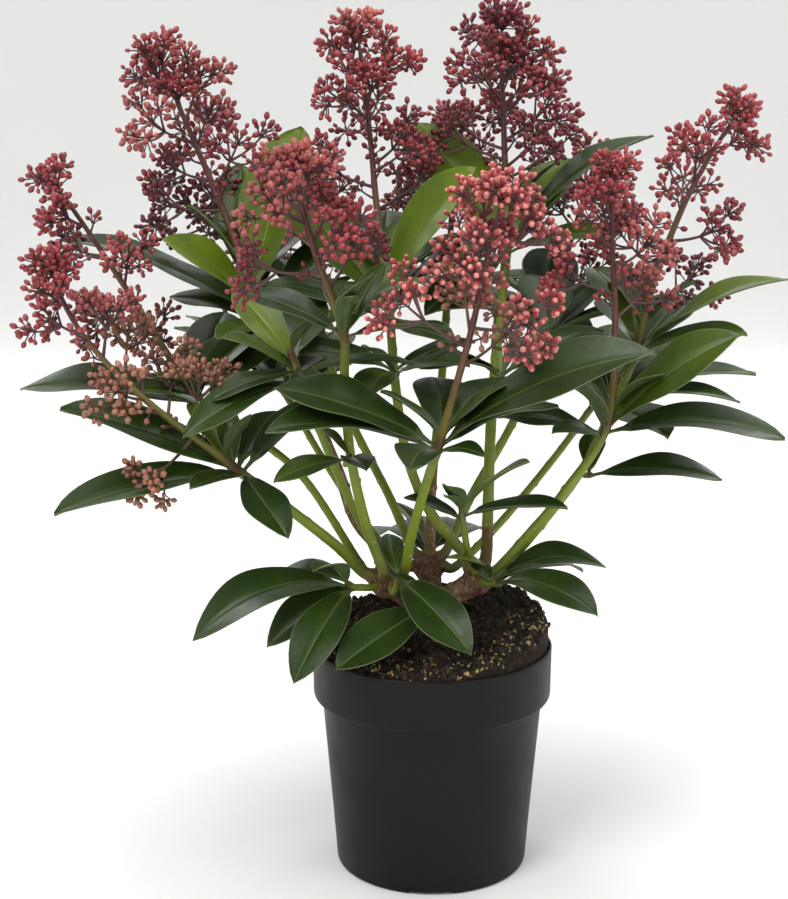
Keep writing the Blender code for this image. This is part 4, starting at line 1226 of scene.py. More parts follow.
# Colours of young bark, where 0 is the knot, 0.5 the whorl and 1 the top of the flower axis
YOUNG_BARK = (
    (0.0, (0.13, 0.085, 0.030)), (0.025, (0.13, 0.14, 0.026)), (0.10, (0.175, 0.240, 0.013)),
    (0.38, (0.160, 0.225, 0.013)), (0.465, (0.13, 0.150, 0.022)), (0.50, (0.095, 0.036, 0.020)),
    (0.53, (0.150, 0.140, 0.024)), (0.61, (0.130, 0.080, 0.028)), (0.70, (0.105, 0.036, 0.026)),
    (0.82, (0.085, 0.020, 0.020)), (1.0, (0.075, 0.014, 0.018)),
)


def ring_frames(points):
    """Two directions square to the line at each point, carried along without twist."""
    frames = []
    side = None
    for i in range(len(points)):
        ahead = (points[min(i + 1, len(points) - 1)] - points[max(i - 1, 0)]).normalized()
        side = ahead.orthogonal() if side is None else side - ahead * side.dot(ahead)
        side.normalize()
        frames.append((side.copy(), ahead.cross(side)))
    return frames


def add_tube(sheaf, points, radii, sides, ages=None, bumps=None, flaky=0):
    """A round stem through points. Bumps gives each corner's own share of the radius, and
    flaky is how many of its rings have the second bark."""
    corners = []
    for i, ((side, other), point, radius) in enumerate(zip(ring_frames(points), points, radii)):
        for j in range(sides):
            a = math.tau * j / sides
            reach = radius * (1 + (bumps(i, a) if bumps else 0))
            corners.append(point + (side * math.cos(a) + other * math.sin(a)) * reach)
    last = len(corners) - sides
    faces = [face for low in range(0, last, sides) for face in band(low, low + sides, sides)]
    faces += [tuple(reversed(range(sides))), tuple(range(last, len(corners)))]
    slots = [int(n < flaky * sides) for n in range(len(faces))]
    sheaf.add(corners, faces, slots, marks=[age for age in ages or () for _ in range(sides)])


def stem_radius(shoot, s, whorl, line):
    """Radius of a shoot at a distance along it."""
    base, tip = (radius * MM for radius in shoot.radii)
    half = shoot.leafy * MM / 2
    if s < whorl - half:
        collar = 1 + 0.45 * math.exp(-max(s, 0) / (3.5 * MM))
        return mix(base, tip, max(s, 0) / (whorl - half)) * collar
    if s < whorl + half or not shoot.head:
        share = (s - whorl + half) / (2 * half)
        swell = 1 + 0.10 * math.sin(math.pi * min(max(share, 0), 1))
        return tip * swell * mix(1, 0.95, min(share, 1))
    past = s - whorl - half
    thin = mix(*RACHIS_RADII, min(past / (line.length - HEAD_TOP - whorl - half), 1))
    return mix(0.95 * tip, thin, smooth_step(past / (6 * MM)))


def scar_bumps(places, pitch, depth, seed):
    """Low rings and swellings where leaves once sat, turned by the golden angle."""
    def bump(i, angle):
        step = round(places[i] / pitch)
        off = (places[i] - step * pitch) / SCAR_WIDTH
        facing = 0.5 + 0.5 * math.cos(angle - step * SPRAY_TURN - seed)
        return depth * math.exp(-off * off) * (0.25 + facing ** 3)
    return bump


def add_shoot(sheaf, scars, shoot, number, plan):
    """One shoot from its knot to the top of its flower axis, with its leaf scars."""
    stretch = plan.leafy[shoot.name]
    line, whorl = stretch.line, plan.whorls[shoot.name]
    end = line.length - HEAD_TOP if shoot.head else stretch.end
    count = max(8, round((end + STEM_FOOT) / STEM_STEP))
    places = [mix(-STEM_FOOT, end, i / count) for i in range(count + 1)]
    points = [line.at(s) for s in places]
    radii = [stem_radius(shoot, s, whorl, line) for s in places]
    axis = max(line.length - whorl, MM)
    slow = GREEN_FOR_LONGER.get(shoot.name, 1)
    ages = []
    for s in places:
        up = (s - whorl) / axis
        ages.append(s / whorl if up < 0 else 1 + max(up ** slow, min(up, NODE_RING)))
    flaky = round(FLAKY.get(shoot.name, 0) * whorl / end * count)
    add_tube(sheaf, points, radii, STEM_SIDES, ages,
             scar_bumps(places, SCAR_PITCH, SCAR_DEPTH, number), flaky)
    frames = ring_frames(points)
    for step in range(1, int(whorl / SCAR_PITCH)):
        i = min(range(len(places)), key=lambda k: abs(places[k] - step * SCAR_PITCH))
        a = step * SPRAY_TURN + number
        side, other = frames[i]
        out = side * math.cos(a) + other * math.sin(a)
        scars.append((points[i] + out * radii[i] * 1.10, out))


def add_side_shoot(sheaf, side, line):
    count = max(6, round((line.length + SIDE_FOOT) / SIDE_STEP))
    places = [mix(-SIDE_FOOT, line.length, i / count) for i in range(count + 1)]
    shares = [max(s, 0) / line.length for s in places]
    radii = [mix(side.radius, 0.9 * side.radius, share) * MM for share in shares]
    add_tube(sheaf, [line.at(s) for s in places], radii, SIDE_SIDES,
             [mix(0.45, 1.0, share) for share in shares],
             scar_bumps(places, SIDE_SCAR_PITCH, SIDE_SCAR_DEPTH, side.radius))


def make_stems(settings):
    """Boughs, leafy stems and flower axes, each shoot as one smooth tapering stem."""
    plan = grow().plan
    sheaf, scars = Sheaf(), []
    for number, shoot in enumerate(SHOOTS):
        add_shoot(sheaf, scars, shoot, number, plan)
    for side in SIDES:
        add_side_shoot(sheaf, side, plan.leafy[side.name].line)
    mesh = sheaf.mesh("stems", [stem_bark("young_bark", YOUNG_BARK), flaky_bark()], "age")
    show(mesh, "stems", *[f"bough_{shoot.name}" for shoot in SHOOTS], slot="bough_front")
    make_scars(scars, settings.scar_size)


def make_scars(scars, size):
    """Pale leaf scars along the lower boughs."""
    bm = bmesh.new()
    bmesh.ops.create_icosphere(bm, subdivisions=1, radius=1.0)
    for corner in bm.verts:
        corner.co = Vector((corner.co.x, corner.co.y * 0.75, corner.co.z * 0.35))
    shape = scratch(mesh_of(bm, "scar"))
    paint = crumb_paint("scar_cork", SCAR_COLOUR, 0.8)
    host = points_host([(place, out, size) for place, out in scars])
    mesh = bud_tree().apply(host, Shape=shape, Skin_Paint=paint, Tip_Paint=paint)
    throw_away(host, shape)
    show(mesh, "leaf_scars", slot="bough_front")


def points_host(rows):
    """A scratch object with a corner for each place, which carries its aim and its size."""
    places, aims, sizes = zip(*rows)
    mesh = drawn_mesh("points", places)
    mark(mesh, "aim", "FLOAT_VECTOR", aims)
    mark(mesh, "size", "FLOAT", sizes)
    return scratch(mesh)


# The old crown. At a bough's foot: distances in millimetres and shares of its radius. Then the
# ways of the cut stubs, their reaches and radii in millimetres, and the angles in degrees of
# the rings that close the stump and the knots.
BOUGH_FOOT = ((-7, 1.5), (-4, 1.5), (-1, 1.35), (2, 1.12), (5, 0.8))
STUBS = ((75, 64), (215, 52), (310, 58))
STUB_RINGS = ((0, 3.4), (9.5, 3.0), (10, 2.2))
STUMP_DOME = (20, 40, 58, 74)
KNOT_RINGS = (128, 105, 82, 58, 34, 14)
STUMP_RINGS = 10
STUMP_SIDES = 24
LIMB_SIDES = 20


def stump_ribs(i, angle):
    """Five ribs that fade upwards, and a slight wander."""
    ribs = 0.13 * math.cos(5 * angle) * (1 - smooth_step(i / 9))
    return ribs + 0.04 * math.sin(3 * angle + i)


def add_stump(sheaf):
    points, radii = [], []
    for i in range(STUMP_RINGS + 1):
        share = i / STUMP_RINGS
        place = FOOT_CENTRE.lerp(TRUNK_CENTRE, min(share * 1.4, 1))
        place.z = mix(FOOT_LEVEL - 1.0 * MM, TRUNK_CENTRE.z, share)
        points.append(place)
        radii.append(mix(FOOT_RADIUS - 1.2 * MM, TRUNK_RADIUS - 0.4 * MM,
                         smooth_step(share * 1.3)))
    for angle in STUMP_DOME:
        a = math.radians(angle)
        points.append(TRUNK_CENTRE + Vector((0, 0, TRUNK_RADIUS * math.sin(a))))
        radii.append(TRUNK_RADIUS * math.cos(a))
    add_tube(sheaf, points, radii, STUMP_SIDES, bumps=stump_ribs)


def add_limb(sheaf, centre):
    """A limb from inside the stump to its knot, which ends it as a ball."""
    axis = (centre - TRUNK_CENTRE).normalized()
    start = TRUNK_CENTRE + axis * (0.3 * TRUNK_RADIUS)
    rings = [(start.lerp(centre, t), LIMB_RADIUS * mix(1.08, 0.95, t)) for t in (0, 0.3, 0.55)]
    for angle in KNOT_RINGS:
        a = math.radians(angle)
        rings.append((centre + axis * (KNOT_RADIUS * math.cos(a)), KNOT_RADIUS * math.sin(a)))
    add_tube(sheaf, *zip(*rings), LIMB_SIDES)


def make_crown(settings):
    """The stump, its limbs and knots and the feet of the boughs, melted into one old crown."""
    sheaf = Sheaf()
    add_stump(sheaf)
    for centre in KNOTS.values():
        add_limb(sheaf, centre)
    for shoot in SHOOTS:
        line = grow().plan.leafy[shoot.name].line
        add_tube(sheaf, [line.at(s * MM) for s, _ in BOUGH_FOOT],
                 [shoot.radii[0] * MM * swell for _, swell in BOUGH_FOOT], STEM_SIDES)
    for way in (direction(*stub) for stub in STUBS):
        start = TRUNK_CENTRE + way * (0.5 * TRUNK_RADIUS)
        add_tube(sheaf, [start + way * reach * MM for reach, _ in STUB_RINGS],
                 [radius * MM for _, radius in STUB_RINGS], STEM_SIDES)
    host = scratch(sheaf.mesh("old_crown"))
    modify(host, "REMESH", mode="VOXEL", voxel_size=settings.grain)
    modify(host, "SMOOTH", factor=0.5, iterations=4)
    mesh = evaluated_mesh(host)
    throw_away(host)
    carve_bark(mesh)
    show(mesh, "old_crown", "trunk", *[f"limb_{side}" for side in KNOTS], slot="trunk",
         paint=old_bark())


def carve_bark(mesh):
    """Push the skin in and out into plates, cracks and warts."""
    moved = np.empty(len(mesh.vertices) * 3)
    mesh.vertices.foreach_get("co", moved)
    moved = moved.reshape(-1, 3)
    for i, corner in enumerate(mesh.vertices):
        p = corner.co
        crack = abs(noise.noise(Vector((p.x, p.y, p.z * 0.5)) / (3.0 * MM)))
        wart = noise.fractal(p / (6.5 * MM), 0.8, 2.0, 3)
        fine = noise.noise(p / (1.3 * MM))
        push = (min(crack, 0.25) * 2.2 - 0.28) * MM + wart * 0.55 * MM + fine * 0.16 * MM
        moved[i] += np.array(corner.normal) * push
    mesh.vertices.foreach_set("co", moved.ravel())
    mesh.shade_smooth()
    mesh.update()


# Leaves

BLADE_STATIONS = 24
BLADE_COLUMNS = 11
STALK_STATIONS = 3
RIB_COLUMNS = (4, 5)
UNDER_BULGE = 0.8 * MM
STALK_THICKNESS = 1.9 * MM
LIGHTER_SHARE = 0.18

# Ranges from which each leaf draws its own shape, most as shares of its length
WAVE_SHARES = (0.4, 1.2)
WAVE_BEATS = (7.5, 11.0)
BENDS = (-0.035, 0.035)
DROOPS = (-0.02, 0.05)
CURLS = (-0.12, 0.16)
FOLD_SHARES = (0.75, 1.3)
GROOVE = 0.35 * MM
LEAST_HALF_WIDTH = 0.25 * MM
RIB_SIZES = (0.75, 0.22)

# Material slots of a leaf
TOP, MARGIN, MIDRIB, UNDER = range(4)


def blade_width(t):
    """Share of the full width at t along a leaf: a narrow stalk, widest past the middle."""
    if not 0 < t < 1:
        return 0.0
    return math.sin(math.pi * t ** 1.38) ** 0.72 * smooth_step((t - 0.02) / 0.16)


def blade_faces():
    """Faces of a leaf between its upper corners and those below them, and their slots."""
    size = BLADE_STATIONS * BLADE_COLUMNS
    faces, slots = [], []
    for i in range(BLADE_STATIONS - 1):
        for j in range(BLADE_COLUMNS - 1):
            a = i * BLADE_COLUMNS + j
            b = a + BLADE_COLUMNS
            faces += [(a, b, b + 1, a + 1), (size + a, size + a + 1, size + b + 1, size + b)]
            if i < STALK_STATIONS or j in RIB_COLUMNS:
                slots += [MIDRIB, MIDRIB]
            elif j in (0, BLADE_COLUMNS - 2):
                slots += [MARGIN, MARGIN]
            else:
                slots += [TOP, UNDER]
        for j in (0, BLADE_COLUMNS - 1):
            a = i * BLADE_COLUMNS + j
            b = a + BLADE_COLUMNS
            quad = (a, size + a, size + b, b)
            faces.append(quad[::-1] if j else quad)
            slots.append(MARGIN)
    for i in (0, BLADE_STATIONS - 1):
        for j in range(BLADE_COLUMNS - 1):
            a = i * BLADE_COLUMNS + j
            quad = (a, size + a, size + a + 1, a + 1)
            faces.append(quad if i else quad[::-1])
            slots.append(MIDRIB)
    return faces, slots


BLADE_FACES, BLADE_SLOTS = blade_faces()


def add_leaf(sheaf, leaf, draw, settings):
    """One leaf as a thin closed blade with its stalk, midrib and margin."""
    length = leaf.length
    wave = settings.wave * draw.uniform(*WAVE_SHARES)
    phase = draw.uniform(0, math.tau)
    beat = draw.uniform(*WAVE_BEATS)
    bend = draw.uniform(*BENDS) * length
    droop = draw.uniform(*DROOPS) * length
    curl = draw.uniform(*CURLS)
    fold = LEAF_FOLD * draw.uniform(*FOLD_SHARES)
    top, under, uvs = [], [], []
    for i in range(BLADE_STATIONS):
        share = i / (BLADE_STATIONS - 1)
        t = min(max(share + 0.035 * math.sin(math.tau * share), 0.0), 1.0)
        arch = ARCHED.get(leaf.mass, LEAF_ARCH) * length * 4 * t * (1 - t)
        middle = (leaf.base + leaf.along * (length * t) + leaf.up * (arch - droop * t ** 3)
                  + leaf.side * (bend * math.sin(math.pi * t)))
        stalk = STALK_HALF_WIDTH * mix(1.0, 0.75, smooth_step(t / 0.1))
        half = blade_width(t) * length * LEAF_WIDTH_RATIO / 2
        half = max(half, stalk * (1 - smooth_step((t - 0.9) / 0.1)), LEAST_HALF_WIDTH)
        thick = mix(STALK_THICKNESS, settings.thickness, smooth_step(t / 0.14))
        rib = min(mix(*RIB_SIZES, t) * MM, 0.3 * half)
        inner = half - min(settings.margin, 0.22 * half)
        right = (rib, mix(rib, inner, 0.33), mix(rib, inner, 0.66), inner, half)
        blade = smooth_step((t - 0.06) / 0.12)
        roll = curl * math.sin(math.pi * t)
        for x in (*(-x for x in reversed(right)), 0.0, *right):
            a = abs(x) / half
            ripple = math.sin(phase + beat * t + (1.3 if x > 0 else 0))
            lift = fold * half * (1.25 * a - 0.25 * a * a) * blade
            lift += wave * length * a * a * ripple * blade
            lift -= GROOVE * blade if x == 0 else 0
            lift += roll * x * 0.6
            deep = thick * mix(1.0, 0.7, a)
            deep += UNDER_BULGE * mix(1.0, 0.25, t) * blade if a * half < 0.6 * rib else 0
            top.append(middle + leaf.side * x + leaf.up * lift)
            under.append(top[-1] - leaf.up * deep)
            uvs.append((0.5 + 0.5 * x / half * max(blade_width(t), 0.1), t))
    sheaf.add(top + under, BLADE_FACES, BLADE_SLOTS, uvs + uvs)


def leaf_tint(leaf, draw):
    # Lighter greens: painted light on the listed leaves that catch the light, and the paler green
    # of young inner leaves; hidden leaves take the middle green at random
    if leaf.index in BRIGHT.get(leaf.mass, ()):
        return "bright"
    if leaf.index in MIDDLE.get(leaf.mass, ()):
        return "middle"
    if leaf.index >= INNER_LEAF:
        return draw.choice(("dark", "middle", "middle", "bright"))
    return "middle" if leaf.index >= HIDDEN_LEAF and draw.random() < LIGHTER_SHARE else "dark"


def leaf_paints(tint, settings):
    """A leaf's materials in the order of its slots."""
    colour = getattr(settings, tint)
    margin = tinted(colour, settings.margin_colour, 0.32)
    midrib = tinted(colour, settings.midrib_colour, 0.42)
    under = tinted(colour, settings.under_colour, 0.75)
    return [leaf_top(f"leaf_{tint}", colour, settings.roughness),
            plain_green(f"leaf_margin_{tint}", margin),
            plain_green(f"leaf_midrib_{tint}", midrib), leaf_under(f"leaf_under_{tint}", under)]


def make_leaves(settings):
    growth = grow()
    draw = random.Random(SEED + 5)
    nodes = [f"leaves_{name}" for name in growth.plan.leafy]
    shares = {"dark": nodes[:15], "middle": nodes[15:20], "bright": nodes[20:]}
    sheaves = {tint: Sheaf() for tint in shares}
    for leaf in growth.leaves:
        add_leaf(sheaves[leaf_tint(leaf, draw)], leaf, draw, settings)
    for tint, sheaf in sheaves.items():
        mesh = sheaf.mesh(f"leaves_{tint}", leaf_paints(tint, settings))
        show(mesh, f"leaf_blades_{tint}", *shares[tint], slot="leaves_front")


# Flower heads

BUD_RINGS = ((-0.02, 0.15), (0.14, 0.36), (0.45, 0.50), (0.74, 0.41), (0.93, 0.20))
BUD_SIDES = 7
BUD_TINTS = ("crimson", "garnet", "rose", "salmon", "tan", "maroon")
CYME_SPREAD = 118
DARK_TWIGS_ABOVE = 0.45
SPRAY_SAG = 0.045

# Ranges that each branchlet draws from: its turn in radians, its reach where it is held in and
# where it is held out, the place of its foot, and its bud's length. A spray draws its own tint.
CYME_WANDER = (-0.4, 0.4)
HELD_IN = (0.34, 0.52)
HELD_OUT = (0.60, 0.92)
BRANCHLET_FEET = (0.05, 0.7)
BUD_LENGTHS = (0.74, 1.14)
TINT_WANDER = (-0.45, 0.45)

# Twigs as they leave the axis or a fork and at their ends, and the small clusters on the axis
TWIG_SIDES = 5
TWIG_RADIUS = 1.05 * MM
SIDE_TWIG_RADIUS = 0.75 * MM
TWIG_END_RADIUS = 0.5 * MM
TWIG_STEPS = 6
BUD_TWIG_RADII = (0.34 * MM, 0.40 * MM)
AXIS_TWIG_RADII = (0.8 * MM, 0.7 * MM, 0.6 * MM, 0.5 * MM, 0.45 * MM)
AXIS_TWIG_LEAN = math.radians(52)
AXIS_TWIG_LENGTHS = (8, 12)
AXIS_TWIG_SAG = Vector((0, 0, -0.4 * MM))
AXIS_CLUSTER_SIZE = 5.2 * MM
AXIS_CLUSTER_BUDS = 5


def bud_shape(plump):
    """A plump bud of unit length along +Z, whose last rings are its tip."""
    points = []
    for height, reach in BUD_RINGS:
        for j in range(BUD_SIDES):
            a = math.tau * j / BUD_SIDES
            crease = 1 - 0.05 * (0.5 + 0.5 * math.cos(3 * a)) * (height > 0.4)
            wide = reach * plump * crease
            points.append((wide * math.cos(a), wide * math.sin(a), height))
    last = len(points) - BUD_SIDES
    faces = [face for low in range(0, last, BUD_SIDES)
             for face in band(low, low + BUD_SIDES, BUD_SIDES)]
    faces += [(last + j, last + (j + 1) % BUD_SIDES, len(points)) for j in range(BUD_SIDES)]
    tip = [n >= last - BUD_SIDES for n in range(len(faces))]
    mesh = drawn_mesh("bud", [*points, (0, 0, 1.0)], [*faces, tuple(reversed(range(BUD_SIDES)))])
    mesh.shade_smooth()
    mark(mesh, "tip", "BOOLEAN", [*tip, False], "FACE")
    return mesh


class Twigs:
    """Chains of twig points with a radius each, to be skinned by the twig tree."""

    def __init__(self):
        self.points, self.edges, self.radii = [], [], []

    def add(self, chain, radii):
        start = len(self.points)
        self.points.extend(chain)
        self.edges.extend((start + i, start + i + 1) for i in range(len(chain) - 1))
        self.radii.extend(radii)

    def host(self):
        mesh = drawn_mesh("chains", self.points, edges=self.edges)
        mark(mesh, "thick", "FLOAT", self.radii)
        return scratch(mesh)


def bowed(start, end, rise, steps):
    """Points of a twig that bows to one side between its ends."""
    return [start.lerp(end, i / steps) + rise * math.sin(math.pi * i / steps)
            for i in range(steps + 1)]


def add_cyme(centre, way, size, count, buds, twigs, draw, length):
    """A small round cluster: short branchlets from the twig's end, each with its bud, some
    held in and most held out."""
    for j in range(count):
        share = (j + 0.5) / count
        lean = math.acos(1 - share * (1 - math.cos(math.radians(CYME_SPREAD))))
        out = spread_around(way, lean, j * SPRAY_TURN + draw.uniform(*CYME_WANDER))
        reach = size * draw.uniform(*(HELD_OUT if j % 4 else HELD_IN))
        root = centre - way * (size * draw.uniform(*BRANCHLET_FEET))
        place = centre + out * reach
        aim = (out * 0.7 + (place - root).normalized() * 0.5 + Vector((0, 0, 0.15))).normalized()
        twigs.add([root, place + aim * 0.3 * MM], BUD_TWIG_RADII)
        buds.append((place, aim, length * draw.uniform(*BUD_LENGTHS)))


def tint_of(spray, draw):
    tints = HEAD_TINTS.get(spray.head, HIDDEN_TINTS)
    place = spray.share * (len(tints) - 1) + draw.uniform(*TINT_WANDER)
    return tints[min(max(round(place), 0), len(tints) - 1)]


def add_spray(spray, buds, twigs, draw, settings):
    """A forked twig: its own end and its side twigs, round about, each carry a cluster."""
    fork = spray.base + spray.along * (spray.length * SPRAY_FORK_AT)
    sag = Vector((0, 0, -SPRAY_SAG * spray.length))
    side = spray.along.orthogonal().normalized()
    across = spray.along.cross(side).normalized()
    ends = [(spray.base, spray.along, spray.length, spray.size, TWIG_RADIUS)]
    for lean, share in ((side, 1.0), (-side, 1.0), (across, 0.82), (-across, 0.82)):
        way = (spray.along * math.cos(SPRAY_FORK) + lean * math.sin(SPRAY_FORK)).normalized()
        reach = (spray.length * (1 - SPRAY_FORK_AT) + SIDE_BUD_REACH * spray.size) * share
        size = SIDE_BUD_SIZE * share * spray.size
        ends.append((fork + sag * 0.9, way, reach, size, SIDE_TWIG_RADIUS))
    for start, way, reach, size, thick in ends:
        centre = start + way * (reach - 0.3 * size)
        chain = bowed(start, centre, sag, TWIG_STEPS)
        twigs.add(chain, [mix(thick, TWIG_END_RADIUS, i / TWIG_STEPS) for i in range(len(chain))])
        count = round(settings.per_cluster * mix(0.6, 1.0, (size / spray.size) ** 2))
        add_cyme(centre, way, size * 1.08, count, buds, twigs, draw, settings.length)


def add_axis_buds(stretch, buds, twigs, draw, settings):
    """Small clusters close to the axis, between the sprays."""
    tints = HEAD_TINTS.get(stretch.name, HIDDEN_TINTS)
    count = HEADS[stretch.name].sprays
    for i in range(count):
        share = (i + 0.5) / count
        base, axis, _, _ = spray_seat(stretch, share)
        way = spread_around(axis, AXIS_TWIG_LEAN, i * SPRAY_TURN + 2.2)
        centre = base + way * draw.uniform(*AXIS_TWIG_LENGTHS) * MM
        chain = bowed(base, centre, AXIS_TWIG_SAG, len(AXIS_TWIG_RADII) - 1)
        twigs.add(chain, AXIS_TWIG_RADII)
        tint = tints[min(int(share * len(tints)), len(tints) - 1)]
        add_cyme(centre, way, AXIS_CLUSTER_SIZE, AXIS_CLUSTER_BUDS, buds[tint], twigs, draw,
                 settings.length)


def make_heads(settings):
    growth = grow()
    draw = random.Random(SEED + 9)
    twigs = {"dark": Twigs(), "plum": Twigs(), "olive": Twigs()}
    buds = {tint: [] for tint in BUD_TINTS}
    for spray in growth.sprays:
        tint = tint_of(spray, draw)
        high = "dark" if spray.share > DARK_TWIGS_ABOVE else "plum"
        stalks = twigs["olive" if tint == "tan" else high]
        add_spray(spray, buds[tint], stalks, draw, settings)
    for stretch in growth.plan.heads.values():
        add_axis_buds(stretch, buds, twigs["plum"], draw, settings)
    nodes = [f"head_{name}" for name in growth.plan.heads]
    tree = twig_tree()
    for tint, chains in twigs.items():
        host = chains.host()
        paint = bud_skin(f"twig_{tint}", getattr(settings, f"{tint}_twig"), 0.6)
        mesh = tree.apply(host, Sides=TWIG_SIDES, Twig_Paint=paint)
        throw_away(host)
        show(mesh, f"spray_twigs_{tint}", *(nodes if tint == "dark" else ()), slot="head_front")
    tree = bud_tree()
    shape = scratch(bud_shape(settings.plump))
    for tint, rows in buds.items():
        host = points_host(rows)
        skin = bud_skin(f"bud_{tint}", getattr(settings, tint))
        tip = bud_skin(f"bud_tip_{tint}", getattr(settings, f"{tint}_tip"))
        mesh = tree.apply(host, Shape=shape, Skin_Paint=skin, Tip_Paint=tip)
        throw_away(host)
        show(mesh, f"buds_{tint}", slot="head_front")
    throw_away(shape)


# Stage

LIGHT_TARGET = Vector((0, 0, 0.24))
CAMERA_PLACE = (0, -0.9, 0.428)
CAMERA_TILT = 12.35
CAMERA_TURN = 1.32


def make_floor(settings):
    """A pale bowl of a floor."""
    radius = settings.floor_radius
    profile = [(0, 0), (radius * 0.5, 0), (radius * 0.8, 0)]
    profile += arc((radius * 0.8, radius * 0.5), radius * 0.5, -80, 0, 10)
    mesh = turned_mesh("studio_floor", [*profile, (radius * 1.3, radius * 1.2)], 64)
    mesh.shade_smooth()
    mesh.materials.append(studio_paint(settings))
    floor = in_scene("studio_floor", mesh)


def make_stage(settings):
    """The floor, soft lights and the camera at the photograph's angle."""
    make_floor(settings)
    scene = bpy.context.scene
    scene.world = bpy.data.worlds.new("studio_air")
    scene.world.use_nodes = True
    air = scene.world.node_tree.nodes["Background"]
    air.inputs["Color"].default_value = (1, 1, 1, 1)
    air.inputs["Strength"].default_value = settings.air
    scene.view_settings.view_transform = "Standard"
    # Name, place, width and power of each lamp
    lamps = (
        ("key", (-0.9, -1.3, 1.7), 1.0, settings.key),
        ("fill", (1.4, -1.1, 0.9), 1.2, settings.fill),
        ("above", (0.1, 0.1, 2.2), 1.4, settings.above),
        ("back_left", (-1.2, 1.3, 1.3), 0.9, settings.back),
        ("back_right", (1.2, 1.4, 1.2), 0.9, settings.back),
    )
    for name, place, width, power in lamps:
        lamp = in_scene(name, bpy.data.lights.new(name, "AREA"))
        lamp.data.size = width
        lamp.data.energy = power
        lamp.location = place
        aim = LIGHT_TARGET - Vector(place)
        lamp.rotation_euler = aim.to_track_quat("-Z", "Y").to_euler()
    camera = in_scene("camera", bpy.data.cameras.new("camera"))
    camera.data.sensor_width = 36
    camera.data.lens = settings.lens
    camera.location = CAMERA_PLACE
    camera.rotation_euler = (math.radians(90 - CAMERA_TILT), 0, math.radians(CAMERA_TURN))
    scene.camera = camera


# Settings that a user would change


def colour_prop(name, description, default):
    return bpy.props.FloatVectorProperty(name=name, description=description, default=default,
                                         subtype="COLOR", size=3, min=0.0, max=1.0)


def length_prop(name, description, default):
    return bpy.props.FloatProperty(name=name, description=description, default=default,
                                   unit="LENGTH", min=0.0, precision=5)


def number_prop(name, description, default):
    return bpy.props.FloatProperty(name=name, description=description, default=default)


def count_prop(name, description, default):
    return bpy.props.IntProperty(name=name, description=description, default=default)


class PotSettings(bpy.types.PropertyGroup):
    steps: count_prop("Steps", "Faces around the pot", 144)
    hole_radius: length_prop("Hole radius", "Radius of the drain holes in the base", 4.5 * MM)
    colour: colour_prop("Colour", "Colour of the moulded plastic", (0.0036, 0.0036, 0.0042))


class SoilSettings(bpy.types.PropertyGroup):
    lump: length_prop("Lump", "Height of the clods on the surface", 2.3 * MM)
    crumbs: count_prop("Crumbs", "Crumbs of peat on the surface", 1700)
    chips: count_prop("Chips", "Chips of bark on the surface", 150)
    grit: count_prop("Grit", "Pale grains on the surface", 70)
    moss: count_prop("Moss", "Green bits on the surface", 60)
    colour: colour_prop("Colour", "Colour of the moist peat", (0.020, 0.012, 0.007))
    chip_colour: colour_prop("Chip colour", "Colour of the bark chips", (0.20, 0.115, 0.050))
    light_chip_colour: colour_prop("Light chip colour", "Colour of the chips along the rim",
                                   (0.34, 0.235, 0.095))
    grit_colour: colour_prop("Grit colour", "Colour of the pale grains", (0.50, 0.42, 0.28))
    moss_colour: colour_prop("Moss colour", "Colour of the green bits", (0.23, 0.24, 0.05))


class StemSettings(bpy.types.PropertyGroup):
    scar_size: length_prop("Scar size", "Half the width of a leaf scar", 1.0 * MM)


class CrownSettings(bpy.types.PropertyGroup):
    grain: length_prop("Grain", "Size of the grid that melts the crown together", 0.8 * MM)


class LeafSettings(bpy.types.PropertyGroup):
    thickness: length_prop("Thickness", "Thickness of a blade at its middle", 0.6 * MM)
    margin: length_prop("Margin", "Width of the pale margin", 0.42 * MM)
    wave: number_prop("Wave", "Height of the wavy edge, as a share of the length", 0.015)
    roughness: number_prop("Roughness", "Roughness of the upper side", 0.34)
    dark: colour_prop("Dark", "Colour of the full-grown leaves", (0.0165, 0.0365, 0.0036))
    # The middle and bright greens are partly painted light, for leaves that catch the light, and
    # partly the paler green of younger leaves
    middle: colour_prop("Middle", "Colour of the lighter leaves", (0.037, 0.069, 0.0050))
    bright: colour_prop("Bright", "Colour of the youngest leaves", (0.082, 0.132, 0.0040))
    margin_colour: colour_prop("Margin colour", "Colour of the margin", (0.22, 0.28, 0.10))
    midrib_colour: colour_prop("Midrib colour", "Colour of the midrib and stalk",
                               (0.15, 0.20, 0.06))
    under_colour: colour_prop("Under colour", "Colour of the underside", (0.085, 0.125, 0.055))


